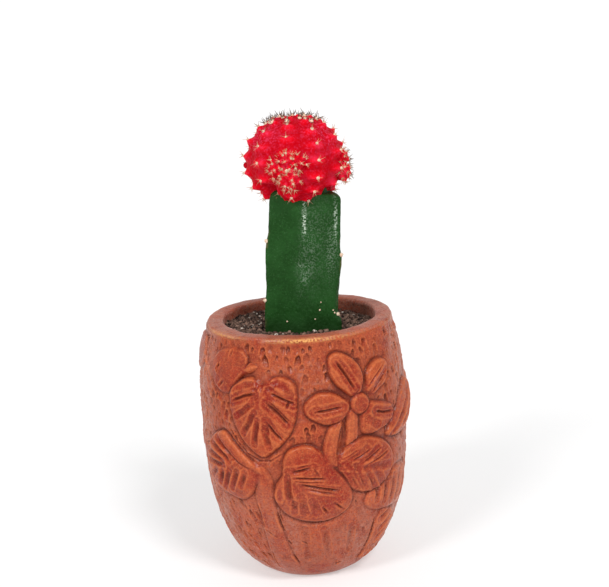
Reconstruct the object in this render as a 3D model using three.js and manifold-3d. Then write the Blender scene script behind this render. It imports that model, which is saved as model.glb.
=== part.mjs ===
// A moon cactus in a carved terracotta pot: a red, spiny globe (the scion) grafted on a green,
// three-ribbed stem (the rootstock) that stands in the pot's soil.
// Millimetres, +Z up. The origin is the middle of the pot's flat base, and -Y is the front.

import * as THREE from 'three';
import { mergeVertices } from 'three/addons/utils/BufferGeometryUtils.js';
import Module from 'manifold-3d';

const wasm = await Module();
wasm.setup();

// ---------------------------------------------------------------- driving dimensions

const CLEARANCE = 0.3;              // gap between pieces that rest on or in each other

// The pot: a barrel that is widest at its belly and draws in to a thick rounded lip.
const POT_HEIGHT = 96.2;
const BASE_RADIUS = 18;
const BELLY_RADIUS = 38.3;
const BELLY_HEIGHT = 58;
const RIM_RADIUS = 34.4;
const MOUTH_RADIUS = 28.2;
const LIP_DROP = 1.3;               // how far the lip's outer edge lies below its inner edge
const LIP_ROUNDING = 0.9;
const INNER_LIP_DROP = 1.4;
const WALL_THICKNESS = 6;
const FLOOR_THICKNESS = 6;
const FLOOR_HOLLOW = { rise: 3, run: 5 };   // the rounded corner between floor and wall
const CAVITY_ROWS = [84, 60, 36, 18, FLOOR_THICKNESS + FLOOR_HOLLOW.rise];
const DRAIN_RADIUS = 4;
const POT_SIDES = 64;
const WALL_ROWS = 14;

// The carving: leaves, petals and stems stand proud of the wall between them.
const CARVING_RISE = 1.1;
const CARVING_ROOT = 1.5;           // how deep each carving is sunk into the wall
const CARVING_RINGS = [             // [share of the outline's reach, share of the rise]
  [1, 0.4],
  [0.66, 0.95],
];

// The soil, level a little below the mouth.
const SOIL_HEIGHT = 91.6;
const SOIL_LUMPS = 0.55;
const SOIL_RINGS = [0, 2.5, 6, 10, 15];     // ring distances inwards from the soil's edge
const SOIL_SIDES = 40;

// The rootstock: three ribs, of which two face left and right and one points to the back.
const STOCK_RIBS = 3;
const STOCK_FOOT = 70;              // height of its buried tip
const STOCK_TOP = 145;
const STOCK_SHOULDER = 139.5;       // above it the ribs round over to the graft
const STOCK_RADIUS = 16.3;          // axis to rib edge at the soil
const STOCK_TAPER = 0.024;          // radius lost for each millimetre of height
const STOCK_FOOT_RADIUS = 6;
const STOCK_FOOT_ROWS = [0, 6, 13];  // heights over the foot of the rows in the soil
const STOCK_SOIL_ENTRY = SOIL_HEIGHT - 3;
const GRAFT_RADIUS = 9.5;
const STOCK_LEAN = 0.056;           // sideways run for each millimetre of height
const STOCK_CENTRE_X = 1.5;         // where its axis leaves the soil
const RIB_LINES = [                 // [height, radius] down the back, left and right rib's edge
  [[139.5, 14.8], [134, 15.4], [117.4, 14.8], [115, 16.1], [112, 16.6], [95.4, 15.2], [92.5, 16.5], [88, 16.2]],
  [[139.5, 14.6], [128, 14.8], [126, 16.1], [123, 16.7], [108, 15.7], [104, 16.4], [100, 16.6], [88, 16.4]],
  [[138, 15.2], [122, 14.7], [119.4, 15.6], [116.8, 15.9], [102.8, 13.9], [97.5, 13.9], [94.8, 16.2], [88, 16]],
];
const RIB_TOPS = [144, 145, 143.4];   // where each rib is cut back to the graft
const SHOULDER_ROWS = [142.2, 143.9];
const FACE_FOLD = 1.6;              // each face is folded outwards along its middle
const FACE_BULGE = 1.05;            // and stands this much further out than a flat one
const RIB_EDGE_ROUNDING = 1.2;
const RIB_CROWDING = 1.5;           // above 1, the sides crowd towards the rib edges
const STOCK_SIDES = 30;
const STOCK_ROWS = 22;

// The scion: a ribbed globe with a chin below each areole.
const GLOBE_CENTRE = new THREE.Vector3(1.5, 0, 154);
const GLOBE_RADIUS = 18.1;
const GLOBE_HALF_HEIGHT = 16.3;
const GLOBE_TILT = THREE.MathUtils.degToRad(8);       // its crown leans to the back
const GLOBE_FULLNESS = [1, 0.92];   // power of the sine over and under its middle: 1 is an ellipse
const RIBS = 10;
const FIRST_RIB = THREE.MathUtils.degToRad(-9);
const FURROW_DEPTH = 1.1;
const FURROW_SHARPNESS = 1.2;
const CHIN_RISE = 0.85;
const CHIN_LAG = 0.1;               // a chin is fullest this share of a pitch below its areole
const AREOLES_PER_RIB = 6;
const FIRST_AREOLE = THREE.MathUtils.degToRad(22);    // polar angle from the crown
const AREOLE_PITCH = THREE.MathUtils.degToRad(20);
const NOTCH = { azimuths: [-50, 60, 169], width: 15, depth: 0.42, angles: [114, 125] };  // over the stem's ribs
const CROWN_DIP = 0.8;
const CROWN_REACH = 0.22;           // radians from the crown over which the dip fades out
const GLOBE_SIDES_PER_RIB = 6;
const GLOBE_ROWS = 28;

// The spines, grey-brown and stiff, in small clusters.
const SPINE_LENGTH = 4.0;
const PUP_SPINE_LENGTH = 2.2;
const SPINE_WIDTH = 0.3;            // radius at the root
const SPINE_ROOT_DEPTH = 1.0;
const SPINES_PER_AREOLE = 3;
const SPINE_SHORTEST = 0.75;        // the shortest spine, as a share of the longest
const SPINE_SPREAD = 0.9;
const PUP_SPINE_SPREAD = 0.4;
const CROWN_SPINES = 8;
const CROWN_SPINE_LENGTH = 4.4;
const SPINE_SEED = 20261;

// The offsets (pups) that sprout from the globe. Azimuth 0 is the front, +90 the image's right.
const PUPS = [
  { azimuth: -23, height: 153.4, reach: 16.2, size: [3.0, 2.9, 3.5], spines: 6 },
  { azimuth: -8.5, height: 155.6, reach: 16.4, size: [3.2, 2.6, 3.4], spines: 6 },
  { azimuth: 5, height: 155.4, reach: 16.9, size: [2.5, 2.2, 2.6], spines: 4 },
  { azimuth: -8, height: 149.6, reach: 15.3, size: [3.9, 3.2, 4.3], spines: 9 },
  { azimuth: 80, height: 154, reach: 16.9, size: [2.9, 2.9, 3.1], spines: 6 },
  { azimuth: 77, height: 149.4, reach: 16.9, size: [3.5, 3.5, 3.7], spines: 8 },
  { azimuth: 158, height: 151, reach: 16.2, size: [4.0, 3.6, 4.6], spines: 10 },
  { azimuth: -96, height: 152.5, reach: 17.5, size: [1.5, 1.6, 1.5], spines: 0 },
];
const PUP_KNOBS = { depth: 0.06, count: 8 };
const PUP_SIDES = 12;
const PUP_SPINE_BAND = [-0.55, 0.9];    // lowest and highest spine, as shares of the half height
const PUP_SPINE_SWING = 2.4;            // radians round the pup's outer side
const GOLDEN_SHARE = 0.618;

// Carved motifs of the front half, as closed outlines of [azimuth in degrees, height].
// The back half mirrors them, apart from the last one, which stands alone on the left side.
const MOTIFS = {
  lobedLeaf: [[-61, 87.5], [-52, 91.5], [-42, 92], [-31, 91], [-29, 86], [-36, 80], [-44, 76], [-55, 79.5]],
  heartLeaf: [
    [-21, 79.5], [-31, 82.7], [-41, 77.5], [-42, 69], [-34, 60],
    [-20, 53.5], [-10, 62.5], [-2.5, 72], [-3, 80], [-9.5, 83.2],
  ],
  upperPetal: [[17.6, 90], [27, 87.5], [33.5, 82], [33.5, 76], [27.5, 74.5], [19, 78], [14.8, 85.5]],
  rightPetal: [[53, 84], [43, 84], [36, 79.5], [36, 74], [43, 72], [51, 75.5], [55.7, 82]],
  leftPetal: [[0, 72.6], [6, 76], [13, 77], [21, 74], [24.8, 70.3], [21, 67], [13, 65], [4, 67]],
  sidePetal: [[37, 69.5], [45, 70.7], [54.5, 67], [59.2, 61.5], [53, 59], [42, 61.5], [36, 67]],
  lowerPetal: [[30.2, 66.7], [37, 65], [43.2, 59.5], [34.6, 58], [30.3, 61.5]],
  rightStalk: [[22, 69], [28.2, 69], [28.8, 61], [27.5, 53.5], [21, 53.5], [21.3, 61]],
  leftStalk: [[16, 67], [22.5, 68.5], [19.5, 60], [16.5, 51], [8.5, 51.5], [11, 58]],
  broadLeaf: [
    [0, 58.3], [-11, 56], [-19, 46], [-18, 36], [-9, 29.5],
    [4, 28], [18, 29.5], [25, 36], [22.5, 44.5], [12, 54],
  ],
  fanLeaf: [
    [-52, 60], [-63, 54.5], [-67, 47], [-57, 39], [-41, 35.5],
    [-28, 41], [-24.5, 47], [-33, 53.5], [-44, 58],
  ],
  featherLeaf: [[16, 52], [24, 56.7], [34, 58.2], [46, 54.5], [55.5, 44.5], [47, 38], [34.5, 36.8], [24, 43]],
  sideLeaf: [[76, 73.5], [67, 70], [60, 64], [49, 56.5], [58, 54], [70, 54], [82, 56], [88, 64], [84, 71]],
  lowerLeaf: [[62, 42], [50, 39], [39, 35.5], [33, 31], [44, 28], [57, 26.5], [70, 27], [76, 32], [72, 38.5]],
  lowerStalk: [[64.5, 24.5], [54, 26.5], [45.5, 27], [45, 21], [41, 12], [50, 12.5], [60, 17.6]],
  trunk: [
    [-18, 53], [-25, 48.7], [-29, 39], [-28, 31], [-26.4, 20], [-25, 6],
    [-8, 5], [-13, 19], [-18, 31.7], [-19, 42],
  ],
  budLeaf: [[-72, 91.5], [-84, 93], [-97, 90], [-99, 84], [-90, 79], [-78, 80.5], [-70, 86]],
};
const UNMIRRORED = ['budLeaf'];
const MOTIF_RISES = {               // of those that stand higher or lower than the others
  lobedLeaf: 0.75, rightStalk: 1, leftStalk: 1, sideLeaf: 2.4, lowerLeaf: 0.85, lowerStalk: 0.6, trunk: 0.75, budLeaf: 0.9,
};
const FLOWER_EYE = { azimuth: 31.3, height: 70.7, radius: 3.4, corners: 8 };
const POINTS_PER_CORNER = 1.5;      // how finely an outline is rounded

// The finish of each piece.
const TERRACOTTA = { color: 0xb4603c, roughness: 0.55 };
const POTTING_SOIL = { color: 0x4a3328, roughness: 0.95 };
const GREEN_FLESH = { color: 0x1f5c2a, roughness: 0.4 };
const RED_FLESH = { color: 0xd40f24, roughness: 0.5 };

// ---------------------------------------------------------------- general helpers

const TURN = 2 * Math.PI;
const ACROSS = new THREE.Vector3(1, 0, 0);
const { degToRad, radToDeg, euclideanModulo, smoothstep, lerp, clamp } = THREE.MathUtils;

/** A repeatable stream of numbers from 0 to 1. */
function seededNumbers(seed) {
  let state = seed;
  return () => {
    state = (state * 1664525 + 1013904223) % 4294967296;
    return state / 4294967296;
  };
}

/** The point at a radius and azimuth round +Z, where azimuth 0 is the front, -Y. */
function polar(radius, azimuth, height) {
  return new THREE.Vector3(radius * Math.sin(azimuth), -radius * Math.cos(azimuth), height);
}

/** A geometry of bare positions with its shared vertices merged and its flat triangles dropped. */
function welded(geometry) {
  const bare = geometry.clone();
  bare.deleteAttribute('normal');
  bare.deleteAttribute('uv');
  const merged = mergeVertices(bare, 1e-4);
  const corners = merged.index.array;
  const kept = [];
  for (let i = 0; i < corners.length; i += 3) {
    const [a, b, c] = corners.slice(i, i + 3);
    if (a !== b && b !== c && c !== a) kept.push(a, b, c);
  }
  merged.setIndex(kept);
  return merged;
}

/** Turns a profile of (radius, height) points round +Z, and moves each vertex by a rule. */
function turned(profile, sides, rule) {
  const geometry = new THREE.LatheGeometry(profile, sides);
  const positions = geometry.attributes.position;
  for (let side = 0; side <= sides; side++) {
    const azimuth = ((side % sides) / sides) * TURN;
    profile.forEach((point, row) => {
      const moved = rule(point, azimuth, row);
      positions.setXYZ(side * profile.length + row, moved.x, moved.y, moved.z);
    });
  }
  return welded(geometry);
}

/** The manifold-3d solid of a closed geometry. */
function solidOf(geometry) {
  return new wasm.Manifold(new wasm.Mesh({
    numProp: 3,
    vertProperties: new Float32Array(geometry.attributes.position.array),
    triVerts: new Uint32Array(geometry.index.array),
  }));
}

/** The three.js geometry of a manifold-3d solid. */
function geometryOf(solid) {
  const mesh = solid.getMesh();
  const geometry = new THREE.BufferGeometry();
  geometry.setAttribute('position', new THREE.BufferAttribute(mesh.vertProperties, 3));
  geometry.setIndex(new THREE.BufferAttribute(mesh.triVerts, 1));
  return geometry;
}

/** The largest body of a solid, without the scraps that a cut leaves. */
function largestBody(solid) {
  const bodies = solid.decompose();
  return bodies.reduce((best, body) => (body.volume() > best.volume() ? body : best));
}

/** A named mesh with its own plain material. */
function piece(name, geometry, finish) {
  const material = new THREE.MeshStandardMaterial({ ...finish, metalness: 0 });
  geometry.computeVertexNormals();
  const mesh = new THREE.Mesh(geometry, material);
  mesh.name = name;
  return mesh;
}

// ---------------------------------------------------------------- pot

const wallCurve = new THREE.SplineCurve([
  new THREE.Vector2(BASE_RADIUS, 0),
  new THREE.Vector2(BASE_RADIUS + 4.9, 3.2),
  new THREE.Vector2(lerp(BASE_RADIUS, BELLY_RADIUS, 0.51), 9.5),
  new THREE.Vector2(lerp(BASE_RADIUS, BELLY_RADIUS, 0.735), 18.9),
  new THREE.Vector2(BELLY_RADIUS - 2, 31.6),
  new THREE.Vector2(BELLY_RADIUS - 0.2, 46.3),
  new THREE.Vector2(BELLY_RADIUS, BELLY_HEIGHT),
  new THREE.Vector2(BELLY_RADIUS - 0.15, 75.8),
  new THREE.Vector2(RIM_RADIUS + 1.7, 88.4),
  new THREE.Vector2(RIM_RADIUS, POT_HEIGHT - LIP_DROP),
]);

const wallLine = wallCurve.getPoints(60);

/** Radius of the plain wall at a height. */
function wallRadius(height) {
  const above = wallLine.findIndex((point) => point.y >= height);
  const [low, high] = [wallLine[above - 1], wallLine[above]];
  return lerp(low.x, high.x, (height - low.y) / (high.y - low.y));
}

/** Radius of the cavity at a height. */
function cavityRadius(height) {
  return wallRadius(height) - WALL_THICKNESS;
}

/** A closed body over rings of equally many points, with a point at each end. */
function lofted(firstPoint, rings, lastPoint) {
  const count = rings[0].length;
  const points = [firstPoint, ...rings.flat(), lastPoint];
  const triangles = [];
  for (let k = 0; k < count; k++) {
    const next = (k + 1) % count;
    triangles.push(0, 1 + next, 1 + k);
    for (let ring = 0; ring < rings.length - 1; ring++) {
      const low = 1 + ring * count;
      const high = low + count;
      triangles.push(low + k, low + next, high + next, low + k, high + next, high + k);
    }
    const top = 1 + (rings.length - 1) * count;
    triangles.push(top + k, top + next, points.length - 1);
  }
  const geometry = new THREE.BufferGeometry().setFromPoints(points);
  geometry.setIndex(triangles);
  return geometry;
}

/** A carved leaf, petal or stalk: a low dome over an outline, bent round the wall and sunk into it. */
function makeCarving(corners, rise, mirrored) {
  const flat = corners.map(([azimuth, height]) => {
    const angle = degToRad(mirrored ? 180 - azimuth : azimuth);
    return new THREE.Vector3(angle * BELLY_RADIUS, height, 0);
  });
  const count = Math.round(corners.length * POINTS_PER_CORNER);
  const outline = new THREE.CatmullRomCurve3(flat, true).getSpacedPoints(count).slice(1);
  if (THREE.ShapeUtils.area(outline) < 0) outline.reverse();
  const middle = outline.reduce((sum, point) => sum.add(point), new THREE.Vector3());
  middle.divideScalar(outline.length);
  const onWall = (point, lift) => polar(wallRadius(point.y) + lift, point.x / BELLY_RADIUS, point.y);
  const ring = (share, lift) => outline.map((point) => onWall(middle.clone().lerp(point, share), lift));
  const dome = CARVING_RINGS.map(([share, lift]) => ring(share, lift * rise));
  return lofted(onWall(middle, -CARVING_ROOT), [ring(1, -CARVING_ROOT), ...dome], onWall(middle, rise));
}

/** The round outline of the flower's eye. */
function flowerEyeOutline() {
  const { azimuth, height, radius, corners } = FLOWER_EYE;
  const reach = radToDeg(radius / BELLY_RADIUS);
  return Array.from({ length: corners }, (_, k) => {
    const angle = (k / corners) * TURN;
    return [azimuth + reach * Math.sin(angle), height + radius * Math.cos(angle)];
  });
}

/** All carvings, the front half's and its mirror image on the back. */
function makeCarvings() {
  const motifs = { ...MOTIFS, flowerEye: flowerEyeOutline() };
  return Object.entries(motifs).flatMap(([name, corners]) => {
    const sides = UNMIRRORED.includes(name) ? [false] : [false, true];
    return sides.map((mirrored) => makeCarving(corners, MOTIF_RISES[name] ?? CARVING_RISE, mirrored));
  });
}

/** The pot: one closed ring of wall, lip, cavity, floor and drain hole. */
function makePot() {
  const wall = wallCurve.getPoints(WALL_ROWS);
  const lipMiddle = lerp(MOUTH_RADIUS, RIM_RADIUS, 0.5);
  const lip = [
    new THREE.Vector2(RIM_RADIUS - LIP_ROUNDING, POT_HEIGHT - LIP_DROP * 0.35),
    new THREE.Vector2(lipMiddle, POT_HEIGHT),
    new THREE.Vector2(MOUTH_RADIUS + LIP_ROUNDING, POT_HEIGHT - LIP_DROP * 0.2),
  ];
  const cavity = [
    new THREE.Vector2(MOUTH_RADIUS, POT_HEIGHT - INNER_LIP_DROP),
    ...CAVITY_ROWS.map((height) => new THREE.Vector2(cavityRadius(height), height)),
  ];
  const floor = [
    new THREE.Vector2(cavity.at(-1).x - FLOOR_HOLLOW.run, FLOOR_THICKNESS),
    new THREE.Vector2(DRAIN_RADIUS, FLOOR_THICKNESS),
    new THREE.Vector2(DRAIN_RADIUS, 0),
  ];
  const profile = [...wall, ...lip, ...cavity, ...floor, wall[0].clone()];
  const barrel = turned(profile, POT_SIDES, (point, azimuth) => polar(point.x, azimuth, point.y));
  const geometry = geometryOf(wasm.Manifold.union([barrel, ...makeCarvings()].map(solidOf)));
  return { geometry, cavity };
}

// ---------------------------------------------------------------- rootstock

/** The value at a height on a line of [height, value] points that runs down. */
function valueAt(line, height) {
  const below = line.findIndex(([level]) => level <= height);
  if (below <= 0) return line.at(below)[1];
  const [[high, start], [low, end]] = [line[below - 1], line[below]];
  return lerp(start, end, (high - height) / (high - low));
}

/** Radius of a straight, unnotched rib at a height. */
function plainRadius(height) {
  return STOCK_RADIUS - STOCK_TAPER * (height - SOIL_HEIGHT);
}

/** Radius from the rootstock's axis to one rib's edge at a height. */
function ribEdge(rib, height) {
  const grown = valueAt(RIB_LINES[rib], height);
  const rooted = lerp(STOCK_FOOT_RADIUS, grown, smoothstep(height, STOCK_FOOT, STOCK_SOIL_ENTRY));
  const cut = clamp((height - STOCK_SHOULDER) / (RIB_TOPS[rib] - STOCK_SHOULDER), 0, 1);
  return lerp(GRAFT_RADIUS, rooted, Math.sqrt(1 - cut * cut));
}

/** Radius of the rootstock at an angle from its nearest rib edge, 0 to 60 degrees. */
function stockRadius(fromRib, rib, height) {
  const halfTurn = Math.PI / STOCK_RIBS;
  const edge = ribEdge(rib, height);
  const apothem = plainRadius(height) * Math.cos(halfTurn) * FACE_BULGE;
  const face = apothem / Math.cos(halfTurn - fromRib) + FACE_FOLD * (fromRib / halfTurn) ** 1.5;
  const mix = clamp(0.5 + (face - edge) / (2 * RIB_EDGE_ROUNDING), 0, 1);
  return lerp(face, edge, mix) - RIB_EDGE_ROUNDING * mix * (1 - mix);
}

/** The rootstock's row heights, from its buried tip to the graft. */
function stockHeights(grow) {
  const buried = STOCK_FOOT_ROWS.map((rise, row) => STOCK_FOOT + rise - (row === 0 ? grow : 0));
  const rows = STOCK_ROWS - buried.length;
  const open = Array.from({ length: rows }, (_, k) => lerp(STOCK_SOIL_ENTRY, STOCK_SHOULDER, k / (rows - 1)));
  return [...buried, ...open, ...SHOULDER_ROWS, STOCK_TOP + grow];
}

/** The rootstock, made larger all over by `grow`. */
function makeRootstock(grow = 0) {
  const heights = stockHeights(grow);
  const profile = [
    new THREE.Vector2(0, heights[0]),
    ...heights.map((height) => new THREE.Vector2(1, height)),
    new THREE.Vector2(0, heights.at(-1)),
  ];
  const sector = TURN / STOCK_RIBS;
  return turned(profile, STOCK_SIDES, ({ x: share, y: height }, azimuth) => {
    const nearest = Math.round(azimuth / sector);
    const turnFromRib = azimuth - nearest * sector;
    const fromRib = (sector / 2) * (Math.abs(turnFromRib) / (sector / 2)) ** RIB_CROWDING;
    const direction = nearest * sector + Math.sign(turnFromRib) * fromRib + Math.PI;
    const radius = share * (stockRadius(fromRib, nearest % STOCK_RIBS, height) + grow);
    const centre = STOCK_CENTRE_X + STOCK_LEAN * (height - SOIL_HEIGHT);
    return polar(radius, direction, height).add(new THREE.Vector3(centre, 0, 0));
  });
}

// ---------------------------------------------------------------- soil

/** The soil: fills the cavity, with a lumpy top and a plain hole for the rootstock. */
function makeSoil(cavity, rootstockRoom) {
  const [mouth, shoulder] = cavity;
  const share = (SOIL_HEIGHT - shoulder.y) / (mouth.y - shoulder.y);
  const edge = lerp(shoulder.x, mouth.x, share) - CLEARANCE;
  const side = cavity.slice(1).reverse();
  const bottom = FLOOR_THICKNESS + CLEARANCE;
  const profile = [
    new THREE.Vector2(0, bottom),
    new THREE.Vector2(side[0].x - FLOOR_HOLLOW.run - CLEARANCE, bottom),
    ...side.map((point) => new THREE.Vector2(point.x - CLEARANCE, point.y)),
    ...SOIL_RINGS.map((inwards) => new THREE.Vector2(edge - inwards, SOIL_HEIGHT)),
    new THREE.Vector2(0, SOIL_HEIGHT),
  ];
  const plug = turned(profile, SOIL_SIDES, ({ x: radius, y: height }, azimuth) => {
    const lumps = Math.sin(5 * azimuth + radius) * Math.cos(0.9 * radius + 3 * azimuth);
    const onTop = height === SOIL_HEIGHT ? clamp(Math.min(radius, edge - radius) / 3, 0, 1) : 0;
    return polar(radius, azimuth, height + SOIL_LUMPS * lumps * onTop);
  });
  return geometryOf(solidOf(plug).subtract(solidOf(rootstockRoom)));
}

// ---------------------------------------------------------------- scion

/** The share of the globe's radius that is left where the flesh gives way to a rib of the stem. */
function notchedShare(azimuth, polarAngle) {
  const notch = NOTCH.azimuths.reduce((sum, middle) => {
    const away = euclideanModulo(radToDeg(azimuth) - middle + 180, 360) - 180;
    return sum + Math.exp(-((away / NOTCH.width) ** 2));
  }, 0);
  return 1 - NOTCH.depth * notch * smoothstep(radToDeg(polarAngle), ...NOTCH.angles);
}

/** A point on the globe at an azimuth and a polar angle from the crown. */
function globePoint(azimuth, polarAngle) {
  const turns = ((azimuth - FIRST_RIB) * RIBS) / TURN;
  const ribPhase = Math.cos(turns * TURN);
  const furrow = ((1 - ribPhase) / 2) ** FURROW_SHARPNESS * FURROW_DEPTH;
  const stagger = 0.5 * Math.abs(Math.round(turns) % 2);
  const chinPhase = Math.cos(((polarAngle - FIRST_AREOLE) / AREOLE_PITCH - stagger - CHIN_LAG) * TURN);
  const chin = CHIN_RISE * chinPhase * (0.5 + ribPhase / 2);
  const relief = (chin - furrow) * Math.sin(polarAngle) ** 0.7
    - CROWN_DIP * Math.exp(-((polarAngle / CROWN_REACH) ** 2));
  const cosine = Math.cos(polarAngle);
  const power = lerp(...GLOBE_FULLNESS, smoothstep(-cosine, -0.3, 0.5));
  const radius = (GLOBE_RADIUS + relief) * Math.sin(polarAngle) ** power * notchedShare(azimuth, polarAngle);
  const height = (GLOBE_HALF_HEIGHT + relief) * Math.sign(cosine) * Math.abs(cosine) ** power;
  return polar(radius, azimuth, height).applyAxisAngle(ACROSS, -GLOBE_TILT).add(GLOBE_CENTRE);
}

/** The globe's outward direction at a point. */
function globeNormal(point) {
  const flattened = point.clone().sub(GLOBE_CENTRE);
  flattened.z *= (GLOBE_RADIUS / GLOBE_HALF_HEIGHT) ** 2;
  return flattened.normalize();
}

/** The ribbed flesh of the globe. */
function makeGlobe() {
  const profile = [];
  for (let row = 0; row <= GLOBE_ROWS; row++) {
    const polarAngle = Math.PI * (1 - row / GLOBE_ROWS);
    profile.push(new THREE.Vector2(Math.sin(polarAngle), polarAngle));
  }
  const sides = RIBS * GLOBE_SIDES_PER_RIB;
  return turned(profile, sides, (point, azimuth) => globePoint(azimuth + FIRST_RIB, point.y));
}

/** Where a pup sits: its centre and its outward direction. */
function pupPlace(pup) {
  const azimuth = degToRad(pup.azimuth);
  const centre = polar(pup.reach, azimuth, pup.height).add(new THREE.Vector3(GLOBE_CENTRE.x, 0, 0));
  return { centre, azimuth };
}

/** A pup: a small knobbly globe sunk into the big one. */
function makePup(pup) {
  const { centre, azimuth } = pupPlace(pup);
  const [wide, deep, high] = pup.size;
  const geometry = new THREE.SphereGeometry(1, PUP_SIDES, PUP_SIDES * 0.625);
  const positions = geometry.attributes.position;
  const spot = new THREE.Vector3();
  for (let i = 0; i < positions.count; i++) {
    spot.fromBufferAttribute(positions, i);
    const { x, y, z } = spot.clone().multiplyScalar(PUP_KNOBS.count);
    const knobs = 1 + PUP_KNOBS.depth * Math.sin(x + 1) * Math.sin(y) * Math.cos(z);
    positions.setXYZ(i, spot.x * wide * knobs, spot.y * deep * knobs, spot.z * high * knobs);
  }
  geometry.rotateZ(azimuth);
  geometry.translate(centre.x, centre.y, centre.z);
  return welded(geometry);
}

/** A three-sided spine from a root below the surface. */
function makeSpine(surfacePoint, normal, direction, length) {
  const root = surfacePoint.clone().addScaledVector(normal, -SPINE_ROOT_DEPTH);
  const whole = length + SPINE_ROOT_DEPTH;
  const geometry = new THREE.ConeGeometry(SPINE_WIDTH, whole, 3);
  geometry.translate(0, whole / 2, 0);
  geometry.applyQuaternion(new THREE.Quaternion().setFromUnitVectors(new THREE.Vector3(0, 1, 0), direction));
  geometry.translate(root.x, root.y, root.z);
  return welded(geometry);
}

/** A cluster of spines that spread from one areole. */
function spineCluster(point, normal, count, spread, draw, longest = SPINE_LENGTH) {
  const across = new THREE.Vector3(0, 0, 1).cross(normal).normalize();
  const along = normal.clone().cross(across);
  const spines = [];
  const start = draw() * TURN;
  for (let k = 0; k < count; k++) {
    const angle = start + ((k + 0.3 * draw()) / count) * TURN;
    const direction = normal.clone()
      .addScaledVector(across, spread * Math.cos(angle))
      .addScaledVector(along, spread * Math.sin(angle))
      .normalize();
    spines.push(makeSpine(point, normal, direction, longest * lerp(SPINE_SHORTEST, 1, draw())));
  }
  return spines;
}

/** All spines: on every rib, on the crown and on the pups. */
function makeSpines() {
  const draw = seededNumbers(SPINE_SEED);
  const spines = [];
  for (let rib = 0; rib < RIBS; rib++) {
    for (let k = 0; k < AREOLES_PER_RIB; k++) {
      const polarAngle = FIRST_AREOLE + (k + 0.5 * (rib % 2)) * AREOLE_PITCH;
      const point = globePoint(FIRST_RIB + (rib / RIBS) * TURN, polarAngle);
      if (point.z < STOCK_TOP - 1) continue;
      spines.push(...spineCluster(point, globeNormal(point), SPINES_PER_AREOLE, SPINE_SPREAD, draw));
    }
  }
  const crown = globePoint(0, 0.02);
  const up = globeNormal(crown);
  spines.push(...spineCluster(crown, up, CROWN_SPINES, SPINE_SPREAD / 2, draw, CROWN_SPINE_LENGTH));
  for (const pup of PUPS) {
    const { centre, azimuth } = pupPlace(pup);
    const [wide, deep, high] = pup.size;
    for (let k = 0; k < pup.spines; k++) {
      const rise = lerp(...PUP_SPINE_BAND, (k + 0.5) / pup.spines);
      const swing = azimuth + (((k * GOLDEN_SHARE) % 1) - 0.5) * PUP_SPINE_SWING;
      const level = Math.sqrt(1 - rise * rise);
      const out = polar(level, swing, rise);
      const normal = out.clone().normalize();
      const point = centre.clone().add(out.multiply(new THREE.Vector3(wide, deep, high)));
      spines.push(...spineCluster(point, normal, 1, PUP_SPINE_SPREAD, draw, PUP_SPINE_LENGTH));
    }
  }
  return spines;
}

/** The scion: flesh, pups and spines grown together, cut to sit over the rootstock's top. */
function makeScion(rootstockRoom) {
  const grown = [makeGlobe(), ...PUPS.map(makePup), ...makeSpines()].map(solidOf);
  const whole = wasm.Manifold.union(grown);
  return geometryOf(largestBody(whole.subtract(solidOf(rootstockRoom))));
}

// ---------------------------------------------------------------- assembly

const rootstockRoom = makeRootstock(CLEARANCE);
const { geometry: potGeometry, cavity } = makePot();

const plant = new THREE.Group();
plant.add(piece('rootstock', makeRootstock(), GREEN_FLESH));
plant.add(piece('scion', makeScion(rootstockRoom), RED_FLESH));

const cactus = new THREE.Group();
cactus.add(piece('pot', potGeometry, TERRACOTTA));
cactus.add(piece('soil', makeSoil(cavity, rootstockRoom), POTTING_SOIL));
cactus.add(plant);

export default cactus;
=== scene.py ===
"""The looks of a moon cactus in a carved terracotta pot.

A red, spiny globe (the scion) is grafted on a green, three-ribbed stem (the rootstock), which
stands in the soil of a hand-carved pot. Lengths are in millimetres until a mesh is made, and
azimuths are in degrees round +Z, where 0 is the carved front, -Y, and +90 is +X.
"""

import logging
import math
from dataclasses import dataclass, field
from enum import Enum
from typing import ClassVar

import bpy
import numpy as np
from mathutils import Matrix, Vector


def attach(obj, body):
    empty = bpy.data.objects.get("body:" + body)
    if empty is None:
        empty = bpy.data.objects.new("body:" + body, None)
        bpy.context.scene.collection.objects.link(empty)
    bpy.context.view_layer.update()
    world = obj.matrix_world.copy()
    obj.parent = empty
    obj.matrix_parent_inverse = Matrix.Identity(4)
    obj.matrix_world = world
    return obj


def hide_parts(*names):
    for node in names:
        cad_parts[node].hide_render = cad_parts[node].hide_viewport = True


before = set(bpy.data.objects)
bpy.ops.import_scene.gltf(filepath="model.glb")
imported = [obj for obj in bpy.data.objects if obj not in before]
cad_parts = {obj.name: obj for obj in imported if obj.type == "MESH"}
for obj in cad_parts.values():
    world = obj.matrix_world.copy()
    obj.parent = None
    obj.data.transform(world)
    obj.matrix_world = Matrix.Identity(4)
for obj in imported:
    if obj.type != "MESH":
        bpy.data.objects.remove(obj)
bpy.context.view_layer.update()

Array = np.ndarray
Colour = tuple[float, float, float]
Line = tuple[tuple[float, float], ...]
Material = bpy.types.Material
Node = bpy.types.Node
NodeTree = bpy.types.NodeTree
Socket = bpy.types.NodeSocket

log = logging.getLogger("moon_cactus")

MM = 0.001
TURN = 2 * math.pi
GOLDEN_ANGLE = math.pi * (3 - math.sqrt(5))
UP = np.array((0, 0, 1.0))


class Body(Enum):
    """The bodies that a piece can ride on."""

    ROOT = "root"


class Slot(Enum):
    """The record's material slots."""

    TERRACOTTA = "terracotta"
    POTTING_SOIL = "potting_soil"
    GREEN_FLESH = "green_flesh"
    RED_FLESH = "red_flesh"


# ---------------------------------------------------------------- small maths


def smoothstep(value: Array, low: float, high: float) -> Array:
    """Rises smoothly from 0 at low to 1 at high."""
    share = np.clip((value - low) / (high - low), 0.0, 1.0)
    return share * share * (3.0 - 2.0 * share)


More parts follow.
